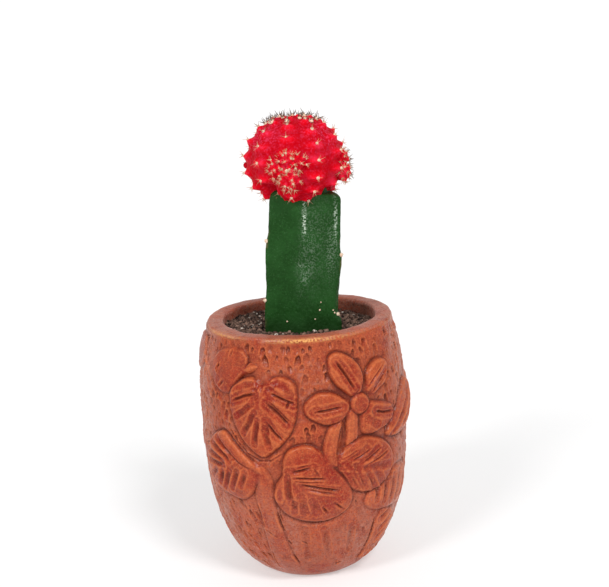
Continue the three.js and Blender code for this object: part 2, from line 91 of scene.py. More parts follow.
def mix(low: Array, high: Array, share: Array) -> Array:
    """The value at a share of the way from low to high."""
    return low + (high - low) * share


def bell(value: Array, width: float) -> Array:
    """1 at zero, falling to nothing a few widths away."""
    return np.exp(-np.square(value / width))


def unit(vectors: Array) -> Array:
    """The vectors at length 1."""
    return vectors / np.linalg.norm(vectors, axis=-1, keepdims=True)


def polar(radius: Array, azimuth: Array, height: Array) -> Array:
    """Points at radii, azimuths in radians and heights round +Z."""
    radius, azimuth, height = np.broadcast_arrays(radius, azimuth, height)
    return np.stack((radius * np.sin(azimuth), -radius * np.cos(azimuth), height), axis=-1)


def turns(count: int) -> Array:
    """Angles in radians that go once round in even steps."""
    return np.arange(count) / count * TURN


def half_turns(rows: int) -> Array:
    """A column of angles from the crown, from below up, without the two poles."""
    return np.linspace(math.pi, 0, rows + 2)[1:-1, None]


def ball(rows: int, columns: int) -> Array:
    """Rings of points on a ball of radius 1, from below up, without the two poles."""
    angle, turn = half_turns(rows), turns(columns)[None, :]
    return polar(np.sin(angle), turn, np.cos(angle) + 0 * turn)


def hermite(start: Array, end: Array, slope: Array, end_slope: Array, steps: int) -> Array:
    """A smooth line in stretches.

    Args:
        start: Where each stretch starts, as rows.
        end: Where each ends.
        slope: Its slope at the start.
        end_slope: Its slope at the end.
        steps: How many parts it is cut into.

    Returns:
        The line's points, as rows, without the last end.
    """
    share = np.linspace(0, 1, steps, endpoint=False)[:, None, None]
    bend = -3 * start + 3 * end - 2 * slope - end_slope
    curl = 2 * start - 2 * end + slope + end_slope
    line = start + slope * share + bend * share**2 + curl * share**3
    return line.transpose(1, 0, 2).reshape(-1, start.shape[1])


def spline(points: list[tuple[float, float]], steps: int) -> Array:
    """A smooth open line through points.

    Args:
        points: The points that it passes.
        steps: How many steps lie between two points.

    Returns:
        The line's points, as rows.
    """
    knots = np.array(points, float)
    before = np.vstack((knots[:1], knots[:-1]))
    slopes = (np.vstack((knots[1:], knots[-1:])) - before) / 2
    return np.vstack((hermite(knots[:-1], knots[1:], slopes[:-1], slopes[1:], steps), knots[-1:]))


def closed_curve(points: Array, steps: int) -> Array:
    """A smooth closed line through points, with no loops where they lie unevenly.

    Args:
        points: The corners, as rows.
        steps: How many steps lie between two corners.

    Returns:
        The line's points, as rows.
    """
    last, start, end, beyond = (np.roll(points, -shift, axis=0) for shift in (-1, 0, 1, 2))
    first_gap, gap, next_gap = (
        np.sqrt(np.linalg.norm(b - a, axis=1, keepdims=True))
        for a, b in ((last, start), (start, end), (end, beyond))
    )
    steady = (end - start) / gap
    slope = ((start - last) / first_gap - (end - last) / (first_gap + gap) + steady) * gap
    end_slope = (steady - (beyond - start) / (gap + next_gap) + (beyond - end) / next_gap) * gap
    return hermite(start, end, slope, end_slope, steps)


def distance_to_line(x: Array, y: Array, line: Array) -> Array:
    """Distance of points to an open line.

    Args:
        x: The points' first coordinates.
        y: The points' second coordinates.
        line: The line's points, as rows.

    Returns:
        The distances, in the shape of x.
    """
    nearest = np.full(x.shape, np.inf)
    for (ax, ay), (bx, by) in zip(line[:-1], line[1:]):
        run_x, run_y = bx - ax, by - ay
        share = ((x - ax) * run_x + (y - ay) * run_y) / (run_x**2 + run_y**2)
        share = np.clip(share, 0, 1)
        nearest = np.minimum(nearest, np.hypot(x - ax - share * run_x, y - ay - share * run_y))
    return nearest


def depth_inside(x: Array, y: Array, outline: Array) -> Array:
    """Distance of points to a closed outline, positive inside it.

    Args:
        x: The points' first coordinates.
        y: The points' second coordinates.
        outline: The outline's points, as rows.

    Returns:
        The signed distances, in the shape of x.
    """
    closed = np.vstack((outline, outline[:1]))
    inside = np.zeros(x.shape, bool)
    for (ax, ay), (bx, by) in zip(closed[:-1], closed[1:]):
        if ay != by:
            crosses = (ay > y) != (by > y)
            inside ^= crosses & (x < (bx - ax) * (y - ay) / (by - ay) + ax)
    return np.where(inside, 1, -1) * distance_to_line(x, y, closed)


@dataclass(frozen=True)
class LatticeNoise:
    """Smooth repeatable noise in space, from about -1 to 1."""

    seed: int
    cells: int = 32

    def __call__(self, points: Array, pitch: float, octaves: int = 1) -> Array:
        """Reads the noise at points.

        Args:
            points: Points in space, with x, y and z last.
            pitch: Size of the coarsest lumps.
            octaves: How many layers there are, each half as coarse and half as strong as the last.

        Returns:
            One value for each point.
        """
        lattice = np.random.default_rng(self.seed).uniform(-1, 1, (self.cells,) * 3)
        total = np.zeros(points.shape[:-1])
        for octave in range(octaves):
            total += self._layer(lattice, points * 2**octave / pitch + 7.3 * octave) / 2**octave
        return total

    def _layer(self, lattice: Array, cell: Array) -> Array:
        """One layer of noise.

        Args:
            lattice: The random values at the lattice's points.
            cell: Points in space, in steps of the lattice.

        Returns:
            One value for each point.
        """
        base = np.floor(cell).astype(int)
        share = cell - base
        share = share * share * (3 - 2 * share)
        total = np.zeros(cell.shape[:-1])
        for corner in np.ndindex(2, 2, 2):
            weight = np.prod(np.where(np.array(corner) == 1, share, 1 - share), axis=-1)
            i, j, k = np.moveaxis((base + corner) % self.cells, -1, 0)
            total += weight * lattice[i, j, k]
        return total


def blurred(grid: Array, radius: int) -> Array:
    """Blurs a grid of values over its rows and round its columns.

    Args:
        grid: The values.
        radius: How many cells the blur reaches.

    Returns:
        The blurred values.
    """
    offsets = range(-2 * radius, 2 * radius + 1)
    weights = np.exp(-np.square(np.array(offsets) / radius))
    weights /= weights.sum()
    padded = np.pad(grid, ((2 * radius, 2 * radius), (0, 0)), mode="edge")
    tall = sum(weight * padded[k:k + len(grid)] for k, weight in enumerate(weights))
    return sum(weight * np.roll(tall, shift, axis=1) for shift, weight in zip(offsets, weights))


# ---------------------------------------------------------------- meshes


def ring_quads(rows: int, columns: int, closed: bool = False) -> Array:
    """Quads between rings of points.

    Args:
        rows: How many rings there are.
        columns: How many points each ring has.
        closed: Whether the last ring joins the first.

    Returns:
        The corners of the quads, as rows of 4.
    """
    row = np.arange(rows if closed else rows - 1)[:, None] * columns
    row_after = (row + columns) % (rows * columns)
    column = np.arange(columns)[None, :]
    after = (column + 1) % columns
    corners = (row + column, row + after, row_after + after, row_after + column)
    return np.stack(corners, axis=-1).reshape(-1, 4)


def capped_faces(rows: int, columns: int) -> list[list[int]]:
    """Faces over one start point, rings of points, and one end point.

    Args:
        rows: How many rings there are.
        columns: How many points each ring has.

    Returns:
        The corners of each face.
    """
    column = np.arange(columns)
    after = (column + 1) % columns
    top = 1 + (rows - 1) * columns
    end = np.full(columns, 1 + rows * columns)
    first = np.stack((np.zeros(columns, int), 1 + after, 1 + column), axis=-1)
    last = np.stack((end, top + column, top + after), axis=-1)
    return (ring_quads(rows, columns) + 1).tolist() + first.tolist() + last.tolist()


@dataclass
class Draft:
    """Points, faces and values at the points, gathered for one mesh."""

    points: list[Array] = field(default_factory=list)
    faces: list[list[int]] = field(default_factory=list)
    values: dict[str, list[Array]] = field(default_factory=dict)
    count: int = 0

    def add(self, points: Array, faces: list[list[int]], **values: Array) -> None:
        """Adds a shell.

        Args:
            points: Its points, with x, y and z last.
            faces: The corners of each face, counted from its own first point.
            **values: Named values, one for each point or one for all.
        """
        flat = points.reshape(-1, 3)
        shift = self.count
        self.points.append(flat)
        self.faces.extend([corner + shift for corner in face] for face in faces)
        for name, value in values.items():
            spread = np.broadcast_to(np.asarray(value, float).reshape(-1), (len(flat),))
            self.values.setdefault(name, []).append(spread)
        self.count += len(flat)

    def add_capped(self, first: Array, rings: Array, last: Array, **values: Array) -> None:
        """Adds a closed shell over rings of points, with a point at each end.

        Args:
            first: The start point.
            rings: The rings, of shape rows, columns, 3.
            last: The end point.
            **values: Named values, one for each ring point or one for all.
        """
        points = np.vstack((first[None], rings.reshape(-1, 3), last[None]))
        ended = {}
        for name, value in values.items():
            flat = np.asarray(value, float).reshape(-1)
            ended[name] = flat if flat.size == 1 else np.concatenate((flat[:1], flat, flat[-1:]))
        self.add(points, capped_faces(*rings.shape[:2]), **ended)

    def build(self, name: str, material: Material, slot: Slot, *replaced: str) -> None:
        """Makes the smooth-shaded piece and places it on the root body.

        Args:
            name: The piece's name.
            material: Its finish.
            slot: The record's slot that the finish belongs to; not used.
            *replaced: The nodes that the piece stands for.
        """
        mesh = bpy.data.meshes.new(name)
        mesh.from_pydata((np.vstack(self.points) * MM).tolist(), [], self.faces)
        for label, parts in self.values.items():
            attribute = mesh.attributes.new(label, "FLOAT", "POINT")
            attribute.data.foreach_set("value", np.concatenate(parts).astype(np.float32))
        mesh.shade_smooth()
        mesh.materials.append(material)
        piece = bpy.data.objects.new(name, mesh)
        bpy.context.scene.collection.objects.link(piece)
        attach(piece, Body.ROOT.value)
        if replaced:
            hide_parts(*replaced)
        log.info("%s: %d points", name, self.count)


# ---------------------------------------------------------------- node trees


@dataclass
class Canvas:
    """A node tree, with short calls that add and join nodes."""

    tree: NodeTree

    def add(self, kind: str, inputs: dict | None = None, **settings: object) -> Node:
        """Adds a node.

        Args:
            kind: The node's type.
            inputs: Sockets to link, or values to set, by the input's name or number.
            **settings: The node's own settings.

        Returns:
            The node.
        """
        node = self.tree.nodes.new(kind)
        for name, value in settings.items():
            setattr(node, name, value)
        for name, value in (inputs or {}).items():
            self.feed(node.inputs[name], value)
        return node

    def feed(self, socket: Socket, value: object) -> None:
        """Links an output to a socket, or sets its value.

        Args:
            socket: The socket.
            value: The output, or a number, vector or colour.
        """
        if isinstance(value, Socket):
            self.tree.links.new(value, socket)
        elif socket.type == "RGBA":
            socket.default_value = (*value, 1.0)
        else:
            socket.default_value = value

    def math(self, operation: str, a: object, b: object, clamp: bool = False) -> Socket:
        """The result of a sum on two values."""
        return self.add("ShaderNodeMath", {0: a, 1: b}, operation=operation, use_clamp=clamp).outputs[0]

    def masked(self, a: object, b: object) -> Socket:
        """The product of two masks, from 0 to 1."""
        return self.math("MULTIPLY", a, b, clamp=True)

    def blend(self, share: object, a: object, b: object) -> Socket:
        """Colour b laid over colour a by a share."""
        settings = {"data_type": "RGBA", "blend_type": "MIX", "clamp_factor": True}
        return self.add("ShaderNodeMix", {0: share, 6: a, 7: b}, **settings).outputs[2]

    def ranged(self, value: object, low: object, high: object) -> Socket:
        """A value stretched so that low becomes 0 and high becomes 1."""
        inputs = {"Value": value, "From Min": low, "From Max": high}
        return self.add("ShaderNodeMapRange", inputs).outputs[0]

    def attribute(self, name: str) -> Socket:
        """A value that the mesh holds at its points."""
        return self.add("ShaderNodeAttribute", attribute_name=name).outputs["Fac"]

    def place(self) -> Socket:
        """The point's place on the object, in metres."""
        return self.add("ShaderNodeTexCoord").outputs["Object"]

    def noise(self, scale: object, detail: float) -> Socket:
        """Noise over the surface."""
        inputs = {"Vector": self.place(), "Scale": scale, "Detail": detail}
        return self.add("ShaderNodeTexNoise", inputs).outputs[0]


class SocketKind(Enum):
    """What a group's socket carries."""

    VALUE = "NodeSocketFloat"
    COLOUR = "NodeSocketColor"


@dataclass
class GroupCanvas(Canvas):
    """The node tree of a new shader node group, with its inputs and outputs.

    Attributes:
        name: The group's name.
        inputs: What each named input carries.
        outputs: What each named output carries.
    """

    name: str
    inputs: dict[str, SocketKind]
    outputs: dict[str, SocketKind]
    tree: NodeTree = field(init=False)

    def __post_init__(self) -> None:
        """Makes the group, its sockets and its two end nodes."""
        self.tree = bpy.data.node_groups.new(self.name, "ShaderNodeTree")
        for way, sockets in (("INPUT", self.inputs), ("OUTPUT", self.outputs)):
            for label, kind in sockets.items():
                self.tree.interface.new_socket(label, in_out=way, socket_type=kind.value)
        self.given = self.add("NodeGroupInput").outputs
        self.result = self.add("NodeGroupOutput").inputs


def make_mottle() -> NodeTree:
    """Patches of one colour in another, with soft borders.

    Returns:
        The group.
    """
    value, colour = SocketKind.VALUE, SocketKind.COLOUR
    inputs = {"Ground": colour, "Patch": colour, "Scale": value, "From": value, "To": value}
    group = GroupCanvas("Mottle", inputs, {"Color": colour})
    given = group.given
    share = group.ranged(group.noise(given["Scale"], 5.0), given["From"], given["To"])
    group.feed(group.result["Color"], group.blend(share, given["Ground"], given["Patch"]))
    return group.tree


def make_grain(rarity: float = 0.55) -> NodeTree:
    """Fine unevenness as a height, and sparse round specks as a mask.

    Args:
        rarity: The share of the places that have no speck.

    Returns:
        The group.
    """
    value = SocketKind.VALUE
    inputs = {"Scale": value, "Speck Scale": value, "Speck Size": value}
    group = GroupCanvas("Grain", inputs, {"Height": value, "Specks": value})
    given = group.given
    group.feed(group.result["Height"], group.noise(given["Scale"], 6.0))
    places = {"Vector": group.place(), "Scale": given["Speck Scale"]}
    cells = group.add("ShaderNodeTexVoronoi", places).outputs
    size = given["Speck Size"]
    near = group.ranged(cells["Distance"], size, group.math("MULTIPLY", size, 0.5))
    chosen = group.add("ShaderNodeSeparateColor", {0: cells["Color"]}).outputs[0]
    group.feed(group.result["Specks"], group.masked(near, group.math("GREATER_THAN", chosen, rarity)))
    return group.tree


def make_relief_tone() -> NodeTree:
    """A colour with painted shade in the hollows and a paler tone on the crests that is painted highlight,
    and on the pot partly rubbed stain.

    Returns:
        The group.
    """
    tones = dict.fromkeys(("Color", "Hollow", "Crest"), SocketKind.COLOUR)
    shares = dict.fromkeys(("Hollow Share", "Crest Share"), SocketKind.VALUE)
    group = GroupCanvas("Relief Tone", tones | shares, {"Color": SocketKind.COLOUR})
    colour = group.given["Color"]
    for tone in ("Crest", "Hollow"):
        share = group.masked(group.attribute(tone.lower()), group.given[f"{tone} Share"])
        colour = group.blend(share, colour, group.given[tone])
    group.feed(group.result["Color"], colour)
    return group.tree


@dataclass
class Palette:
    """The shared node groups, made once."""

    mottle: NodeTree = field(default_factory=make_mottle)
    grain: NodeTree = field(default_factory=make_grain)
    relief_tone: NodeTree = field(default_factory=make_relief_tone)


@dataclass(frozen=True)
class Patches:
    """Patches of a colour in another.

    Attributes:
        colour: Their colour.
        size: The size of a patch.
        begins: The noise value where a patch begins.
        full: The noise value where it is full.
    """

    colour: Colour
    size: float
    begins: float
    full: float


@dataclass(frozen=True)
class Grain:
    """The fine texture of a finish.

    Attributes:
        size: The size of its unevenness.
        speck_pitch: The distance between two specks.
        speck_size: A speck's size, as a share of that distance.
        depth: How deep the unevenness is.
        dull: The heights where the surface has no roughness and full roughness, if it varies.
    """

    size: float
    speck_pitch: float
    speck_size: float
    depth: float
    dull: tuple[float, float] | None = None


@dataclass
class Paint(Canvas):
    """The node tree of one material, round its shader."""

    palette: Palette
    shader: Node

    def set(self, **values: object) -> None:
        """Sets or links the shader's inputs, named with _ for each space."""
        for name, value in values.items():
            self.feed(self.shader.inputs[name.replace("_", " ")], value)

    def shared(self, group: NodeTree, inputs: dict) -> Node:
        """Adds one of the palette's groups."""
        return self.add("ShaderNodeGroup", inputs, node_tree=group)

    def mottled(self, ground: object, *layers: Patches) -> Socket:
        """A ground colour with layers of patches over it.

        Args:
            ground: The colour or output between the patches.
            *layers: The patches, from the lowest layer up.

        Returns:
            The colour output.
        """
        for layer in layers:
            inputs = {"Ground": ground, "Patch": layer.colour, "Scale": 1 / (layer.size * MM)}
            inputs |= {"From": layer.begins, "To": layer.full}
            ground = self.shared(self.palette.mottle, inputs).outputs[0]
        return ground

    def laid(self, ground: object, **colours: Colour) -> Socket:
        """A ground colour with others over it, each where the mesh's value of its name says."""
        for name, colour in colours.items():
            ground = self.blend(self.attribute(name), ground, colour)
        return ground

    def speckle(self, size: float, detail: float, low: float, high: float) -> Socket:
        """A mask of specks of a size in millimetres, cut from noise between two values."""
        return self.ranged(self.noise(1 / (size * MM), detail), low, high)

    def grained(self, grain: Grain) -> tuple[Socket, Socket]:
        """Gives the surface its fine texture.

        Args:
            grain: The texture.

        Returns:
            The height of the unevenness, and the mask of the specks.
        """
        inputs = {"Scale": 1 / (grain.size * MM), "Speck Scale": 1 / (grain.speck_pitch * MM)}
        inputs["Speck Size"] = grain.speck_size
        height, specks = self.shared(self.palette.grain, inputs).outputs
        bump = self.add("ShaderNodeBump", {"Height": height, "Distance": grain.depth * MM, "Strength": 1.0})
        self.set(Normal=bump.outputs[0])
        if grain.dull:
            self.set(Roughness=self.ranged(height, *grain.dull))
        return height, specks

    def toned(self, colour: object, hollow: tuple[Colour, float], crest: tuple[Colour, float]) -> Socket:
        """A colour, with painted shade in the hollows and paled on the crests as a painted highlight.

        Args:
            colour: The colour of the plain surface.
            hollow: The hollows' colour, and how strongly it shows.
            crest: The crests' colour, and how strongly it shows.

        Returns:
            The colour output.
        """
        inputs = {"Color": colour, "Hollow": hollow[0], "Crest": crest[0]}
        inputs |= {"Hollow Share": hollow[1], "Crest Share": crest[1]}
        return self.shared(self.palette.relief_tone, inputs).outputs[0]


# ---------------------------------------------------------------- finishes


@dataclass(frozen=True)
class Finish:
    """A finish that a material can have.

    Attributes:
        name: The material's name.
    """

    name: ClassVar[str]

    def material(self, palette: Palette) -> Material:
        """Makes the material, with a Principled shader.

        Args:
            palette: The shared node groups.

        Returns:
            The material.
        """
        material = bpy.data.materials.new(self.name)
        material.use_nodes = True
        self.dress(Paint(material.node_tree, palette, material.node_tree.nodes["Principled BSDF"]))
        return material

    def dress(self, paint: Paint) -> None:
        """Adds the nodes and values that make up the look."""
        raise NotImplementedError


@dataclass(frozen=True)
class FiredClay(Finish):
    """Stained and varnished terracotta."""

    name: ClassVar[str] = "fired_clay"
    ground: Colour = (0.335, 0.06, 0.023)
    stain: Colour = (0.235, 0.008, 0.003)
    # pale chalk patches, and painted sheen at the left and right sides of the wall and on the lip
    ash: Colour = (0.38, 0.16, 0.12)
    # painted glints: the colour of pale flecks that stand for the varnish's glints
    glint: Colour = (0.56, 0.24, 0.165)
    orange: Colour = (0.43, 0.068, 0.021)
    umber: Colour = (0.15, 0.015, 0.006)
    spark: Colour = (0.62, 0.16, 0.055)
    # painted shade: the colour laid in the carving's recesses and on the cavity's inner wall
    hollow: Colour = (0.09, 0.01, 0.004)
    # paler and golden on raised parts: partly rubbed stain, partly a painted highlight
    crest: Colour = (0.6, 0.15, 0.046)
    gold: Colour = (0.85, 0.45, 0.14)
    sheen: Colour = (1.0, 0.72, 0.66)
    grain: Grain = Grain(0.7, 0.8, 0.3, 0.26, (-0.6, 1.1))
    least_glint: float = 0.06
    gold_specks: float = 0.12

    def dress(self, paint: Paint) -> None:
        """Lays stain, pale chalk with painted sheen, and patches on the clay, then the painted shade and
        paler crests of the relief, painted glints, gold specks, and gold on the lip's rubbed edge with its
        painted highlight.

        Args:
            paint: The material's nodes.
        """
        height, specks = paint.grained(self.grain)
        # lays the stain, and pale chalk with painted sheen at the sides
        clay = paint.laid(self.ground, stain=self.stain, ash=self.ash)
        clay = paint.mottled(
            clay,
            Patches(self.orange, 15, 0.5, 0.8),
            Patches(self.stain, 7, 0.52, 0.78),
            Patches(self.umber, 4.0, 0.52, 0.85),
            Patches(self.orange, 1.3, 0.5, 0.75),
            Patches(self.umber, 0.7, 0.52, 0.8),
            Patches(self.spark, 0.45, 0.52, 0.9),
        )
        # painted shade in the hollows; paler crests, partly rubbed stain and partly painted highlight
        clay = paint.toned(clay, (self.hollow, 0.85), (self.crest, 0.66))
        clay = paint.mottled(clay, Patches(self.umber, 0.5, 0.53, 0.85))
        # painted glints: pale flecks, most where chalk and painted sheen lie, and a few everywhere
        chalk_and_glints = paint.math("ADD", paint.attribute("ash"), self.least_glint)
        clay = paint.blend(paint.masked(chalk_and_glints, paint.speckle(0.5, 3.0, 0.52, 0.7)), clay, self.glint)
        clay = paint.blend(paint.math("MULTIPLY", specks, self.gold_specks), clay, self.gold)
        # gold on the lip's rubbed outer edge, with a painted highlight at its front
        rubbed_and_glinting = paint.masked(paint.attribute("wear_and_glint"), paint.ranged(height, 0.38, 0.6))
        clay = paint.blend(rubbed_and_glinting, clay, self.gold)
        paint.set(Base_Color=clay, Coat_Weight=0.22, Coat_Roughness=0.22, Specular_IOR_Level=0.1)
        paint.set(Sheen_Weight=0.35, Sheen_Roughness=0.25, Sheen_Tint=self.sheen)


@dataclass(frozen=True)
class GreenSkin(Finish):
    """The waxy skin of the rootstock."""

    name: ClassVar[str] = "green_skin"
    ground: Colour = (0.008, 0.045, 0.006)
    pale: Colour = (0.016, 0.075, 0.014)
    light: Colour = (0.03, 0.11, 0.026)
    speck: Colour = (0.12, 0.26, 0.12)
    cork: Colour = (0.22, 0.15, 0.07)
    # painted highlight: pale streaks and crackle on the stem
    bloom: Colour = (0.6, 0.72, 0.58)
    shade: Colour = (0.008, 0.025, 0.006)
    grain: Grain = Grain(0.9, 0.8, 0.3, 0.3, (0.1, 1.0))
    speck_share: float = 0.15

    def dress(self, paint: Paint) -> None:
        """Lays patches and specks on the skin, then its painted shade, its crackled painted highlight and its
        cork.

        Args:
            paint: The material's nodes.
        """
        _, specks = paint.grained(self.grain)
        skin = paint.mottled(
            self.ground,
            Patches(self.pale, 9, 0.42, 0.72),
            Patches(self.pale, 0.9, 0.5, 0.85),
            Patches(self.light, 0.5, 0.54, 0.95),
        )
        skin = paint.blend(paint.math("MULTIPLY", specks, self.speck_share), skin, self.speck)
        skin = paint.laid(skin, shade=self.shade)
        # painted highlight: crackled pale flecks along the stem's streaks
        crackled_highlight = paint.masked(paint.attribute("bloom"), paint.speckle(0.6, 5.0, 0.46, 0.62))
        skin = paint.laid(paint.blend(crackled_highlight, skin, self.bloom), cork=self.cork)
        paint.set(Base_Color=skin, Specular_IOR_Level=0.1)


@dataclass(frozen=True)
class RedFlesh(Finish):
    """The flesh of the scion, which has no green in it."""

    name: ClassVar[str] = "red_flesh"
    ground: Colour = (0.76, 0.0, 0.009)
    pink: Colour = (0.82, 0.03, 0.085)
    # deep: random dark patches, and painted shade in the furrows and between the pups' mounds
    deep: Colour = (0.3, 0.0, 0.005)
    # crest: the random specks' pink, and painted sheen on the chins and the pups' mounds
    crest: Colour = (0.82, 0.045, 0.1)
    # painted highlight: pink sheen on the globe's upper left and right shoulders
    bloom: Colour = (0.84, 0.07, 0.18)
    grain: Grain = Grain(1.1, 0.9, 0.28, 0.55, (-0.3, 1.3))
    speck_share: float = 0.3

    def dress(self, paint: Paint) -> None:
        """Lays patches on the flesh, then painted shade in its furrows and painted sheen on its chins, its
        specks, and a creased painted highlight on its shoulders.

        Args:
            paint: The material's nodes.
        """
        _, specks = paint.grained(self.grain)
        flesh = paint.mottled(
            self.ground,
            Patches(self.pink, 6, 0.53, 0.78),
            Patches(self.deep, 1.6, 0.6, 0.95),
            Patches(self.pink, 0.8, 0.54, 0.75),
        )
        flesh = paint.toned(flesh, (self.deep, 0.75), (self.crest, 0.35))
        flesh = paint.blend(paint.math("MULTIPLY", specks, self.speck_share), flesh, self.crest)
        # painted highlight: creased pink flecks on the shoulders
        creased_highlight = paint.masked(paint.attribute("bloom"), paint.speckle(0.8, 6.0, 0.48, 0.62))
        flesh = paint.blend(creased_highlight, flesh, self.bloom)
        paint.set(Base_Color=flesh, Specular_IOR_Level=0.03, Subsurface_Weight=0.1)
        paint.set(Subsurface_Radius=(1.0, 0.05, 0.05), Subsurface_Scale=0.001)


@dataclass(frozen=True)
class Wool(Finish):
    """The felt of the areoles."""

    name: ClassVar[str] = "areole_wool"
    pale: Colour = (0.82, 0.63, 0.46)
    tan: Colour = (0.48, 0.22, 0.13)
    grain: Grain = Grain(0.2, 0.5, 0.3, 0.1)

    def dress(self, paint: Paint) -> None:
        """Lays tan patches on the pale felt.

        Args:
            paint: The material's nodes.
        """
        paint.grained(self.grain)
        felt = paint.mottled(self.pale, Patches(self.tan, 0.8, 0.5, 0.8))
        paint.set(Base_Color=felt, Roughness=0.95, Sheen_Weight=0.4, Sheen_Roughness=0.5)


@dataclass(frozen=True)
class SpineHorn(Finish):
    """The horn of the spines, pale at the root where they are old and dark where they are young."""

    name: ClassVar[str] = "spine_horn"
    pale: Colour = (0.8, 0.46, 0.28)
    streak: Colour = (0.6, 0.3, 0.14)
    dark: Colour = (0.022, 0.009, 0.005)

    def dress(self, paint: Paint) -> None:
        """Streaks the pale horn and darkens it by its tone."""
        horn = paint.mottled(self.pale, Patches(self.streak, 1.2, 0.45, 0.75))
        paint.set(Base_Color=paint.laid(horn, tone=self.dark), Roughness=0.45)


@dataclass(frozen=True)
class Earth(Finish):
    """Potting soil: bark crumbs, fibres and a few white grains of perlite."""

    name: ClassVar[str] = "earth"
    dark: Colour = (0.014, 0.007, 0.005)
    brown: Colour = (0.09, 0.044, 0.03)
    bark: Colour = (0.3, 0.18, 0.13)
    pale: Colour = (0.6, 0.52, 0.45)
    grain: Grain = Grain(0.5, 0.7, 0.3, 0.3)

    def dress(self, paint: Paint) -> None:
        """Tints each crumb of the dark soil, or whitens it.

        Args:
            paint: The material's nodes.
        """
        paint.grained(self.grain)
        crumb = paint.mottled(self.dark, Patches(self.brown, 1.6, 0.42, 0.68))
        crumb = paint.laid(crumb, tint=self.bark, perlite=self.pale)
        paint.set(Base_Color=crumb, Roughness=0.85, Specular_IOR_Level=0.35)


@dataclass(frozen=True)
class PaleFloor(Finish):
    """A plain, matte, nearly white floor, lit a little from below as a light table is."""

    name: ClassVar[str] = "pale_floor"
    white: Colour = (0.6, 0.6, 0.6)
    light: Colour = (1.0, 1.0, 1.0)
    glow: float = 0.4

    def dress(self, paint: Paint) -> None:
        """Sets the floor's colour and its glow."""
        paint.set(Base_Color=self.white, Roughness=0.9, Specular_IOR_Level=0.1)
        paint.set(Emission_Color=self.light, Emission_Strength=self.glow)


# ---------------------------------------------------------------- the carving's pattern


@dataclass(frozen=True)
class Cut:
    """A tool's mark along a line of (azimuth, height) points.

    Attributes:
        line: The points.
        width: Its width at the surface.
        depth: Its depth, or minus its height if it is a ridge.
        sharp: Whether it is a knife's V, not a gouge's round hollow.
    """

    line: Line
    width: float
    depth: float
    sharp: bool


class Tool(Enum):
    """The carver's tools: their marks' width and depth, and whether these are sharp."""

    KNIFE = (1.15, 0.85, True)
    SCRATCH = (0.9, 0.42, True)
    GOUGE = (2.8, 0.9, False)
    FLUTE = (3.6, 0.5, False)
    SWELL = (4.6, 0.75, False)
    MIDRIB = (4.2, -0.3, False)
    RIDGE = (1.9, -0.4, False)

    def along(self, *lines: Line) -> tuple[Cut, ...]:
        """The tool's marks along lines."""
        return tuple(Cut(line, *self.value) for line in lines)


knife, scratch, gouge = Tool.KNIFE.along, Tool.SCRATCH.along, Tool.GOUGE.along
flute, midrib, ridge = Tool.FLUTE.along, Tool.MIDRIB.along, Tool.RIDGE.along


def vein(*lines: Line) -> tuple[Cut, ...]:
    """Sharp cuts at the bottom of wide hollows, so that the leaf swells on both sides."""
    return knife(*lines) + Tool.SWELL.along(*lines)


@dataclass(frozen=True)
class Motif:
    """A carved leaf, petal or stalk.

    Attributes:
        name: What it is.
        outline: Its corners as (azimuth, height), rounded by a smooth curve.
        cuts: The cuts in it.
        rise: Height of its middle over its edge, or minus the depth of a hollow.
        level: Height of its edge over the wall.
        roll: How far in from its outline it rounds over.
        groove: How deep its outline is cut, as a share of the usual depth.
        stain: How dark its stain is, from 0 to 1.
        opens_at: The spot where its outline runs out into what it grows from, or None.
        opening: How far from that spot it is fully cut again.
        fades_below: The height below which it runs out into the wall.
        mirrored: Whether the back of the pot has its mirror image.
    """

    name: str
    outline: Line
    cuts: tuple[Cut, ...] = ()
    rise: float = 1.35
    level: float = 0.1
    roll: float = 2.0
    groove: float = 1.0
    stain: float = 1.0
    opens_at: tuple[float, float] | None = None
    opening: float = 6.0
    fades_below: float = 0.0
    mirrored: bool = True


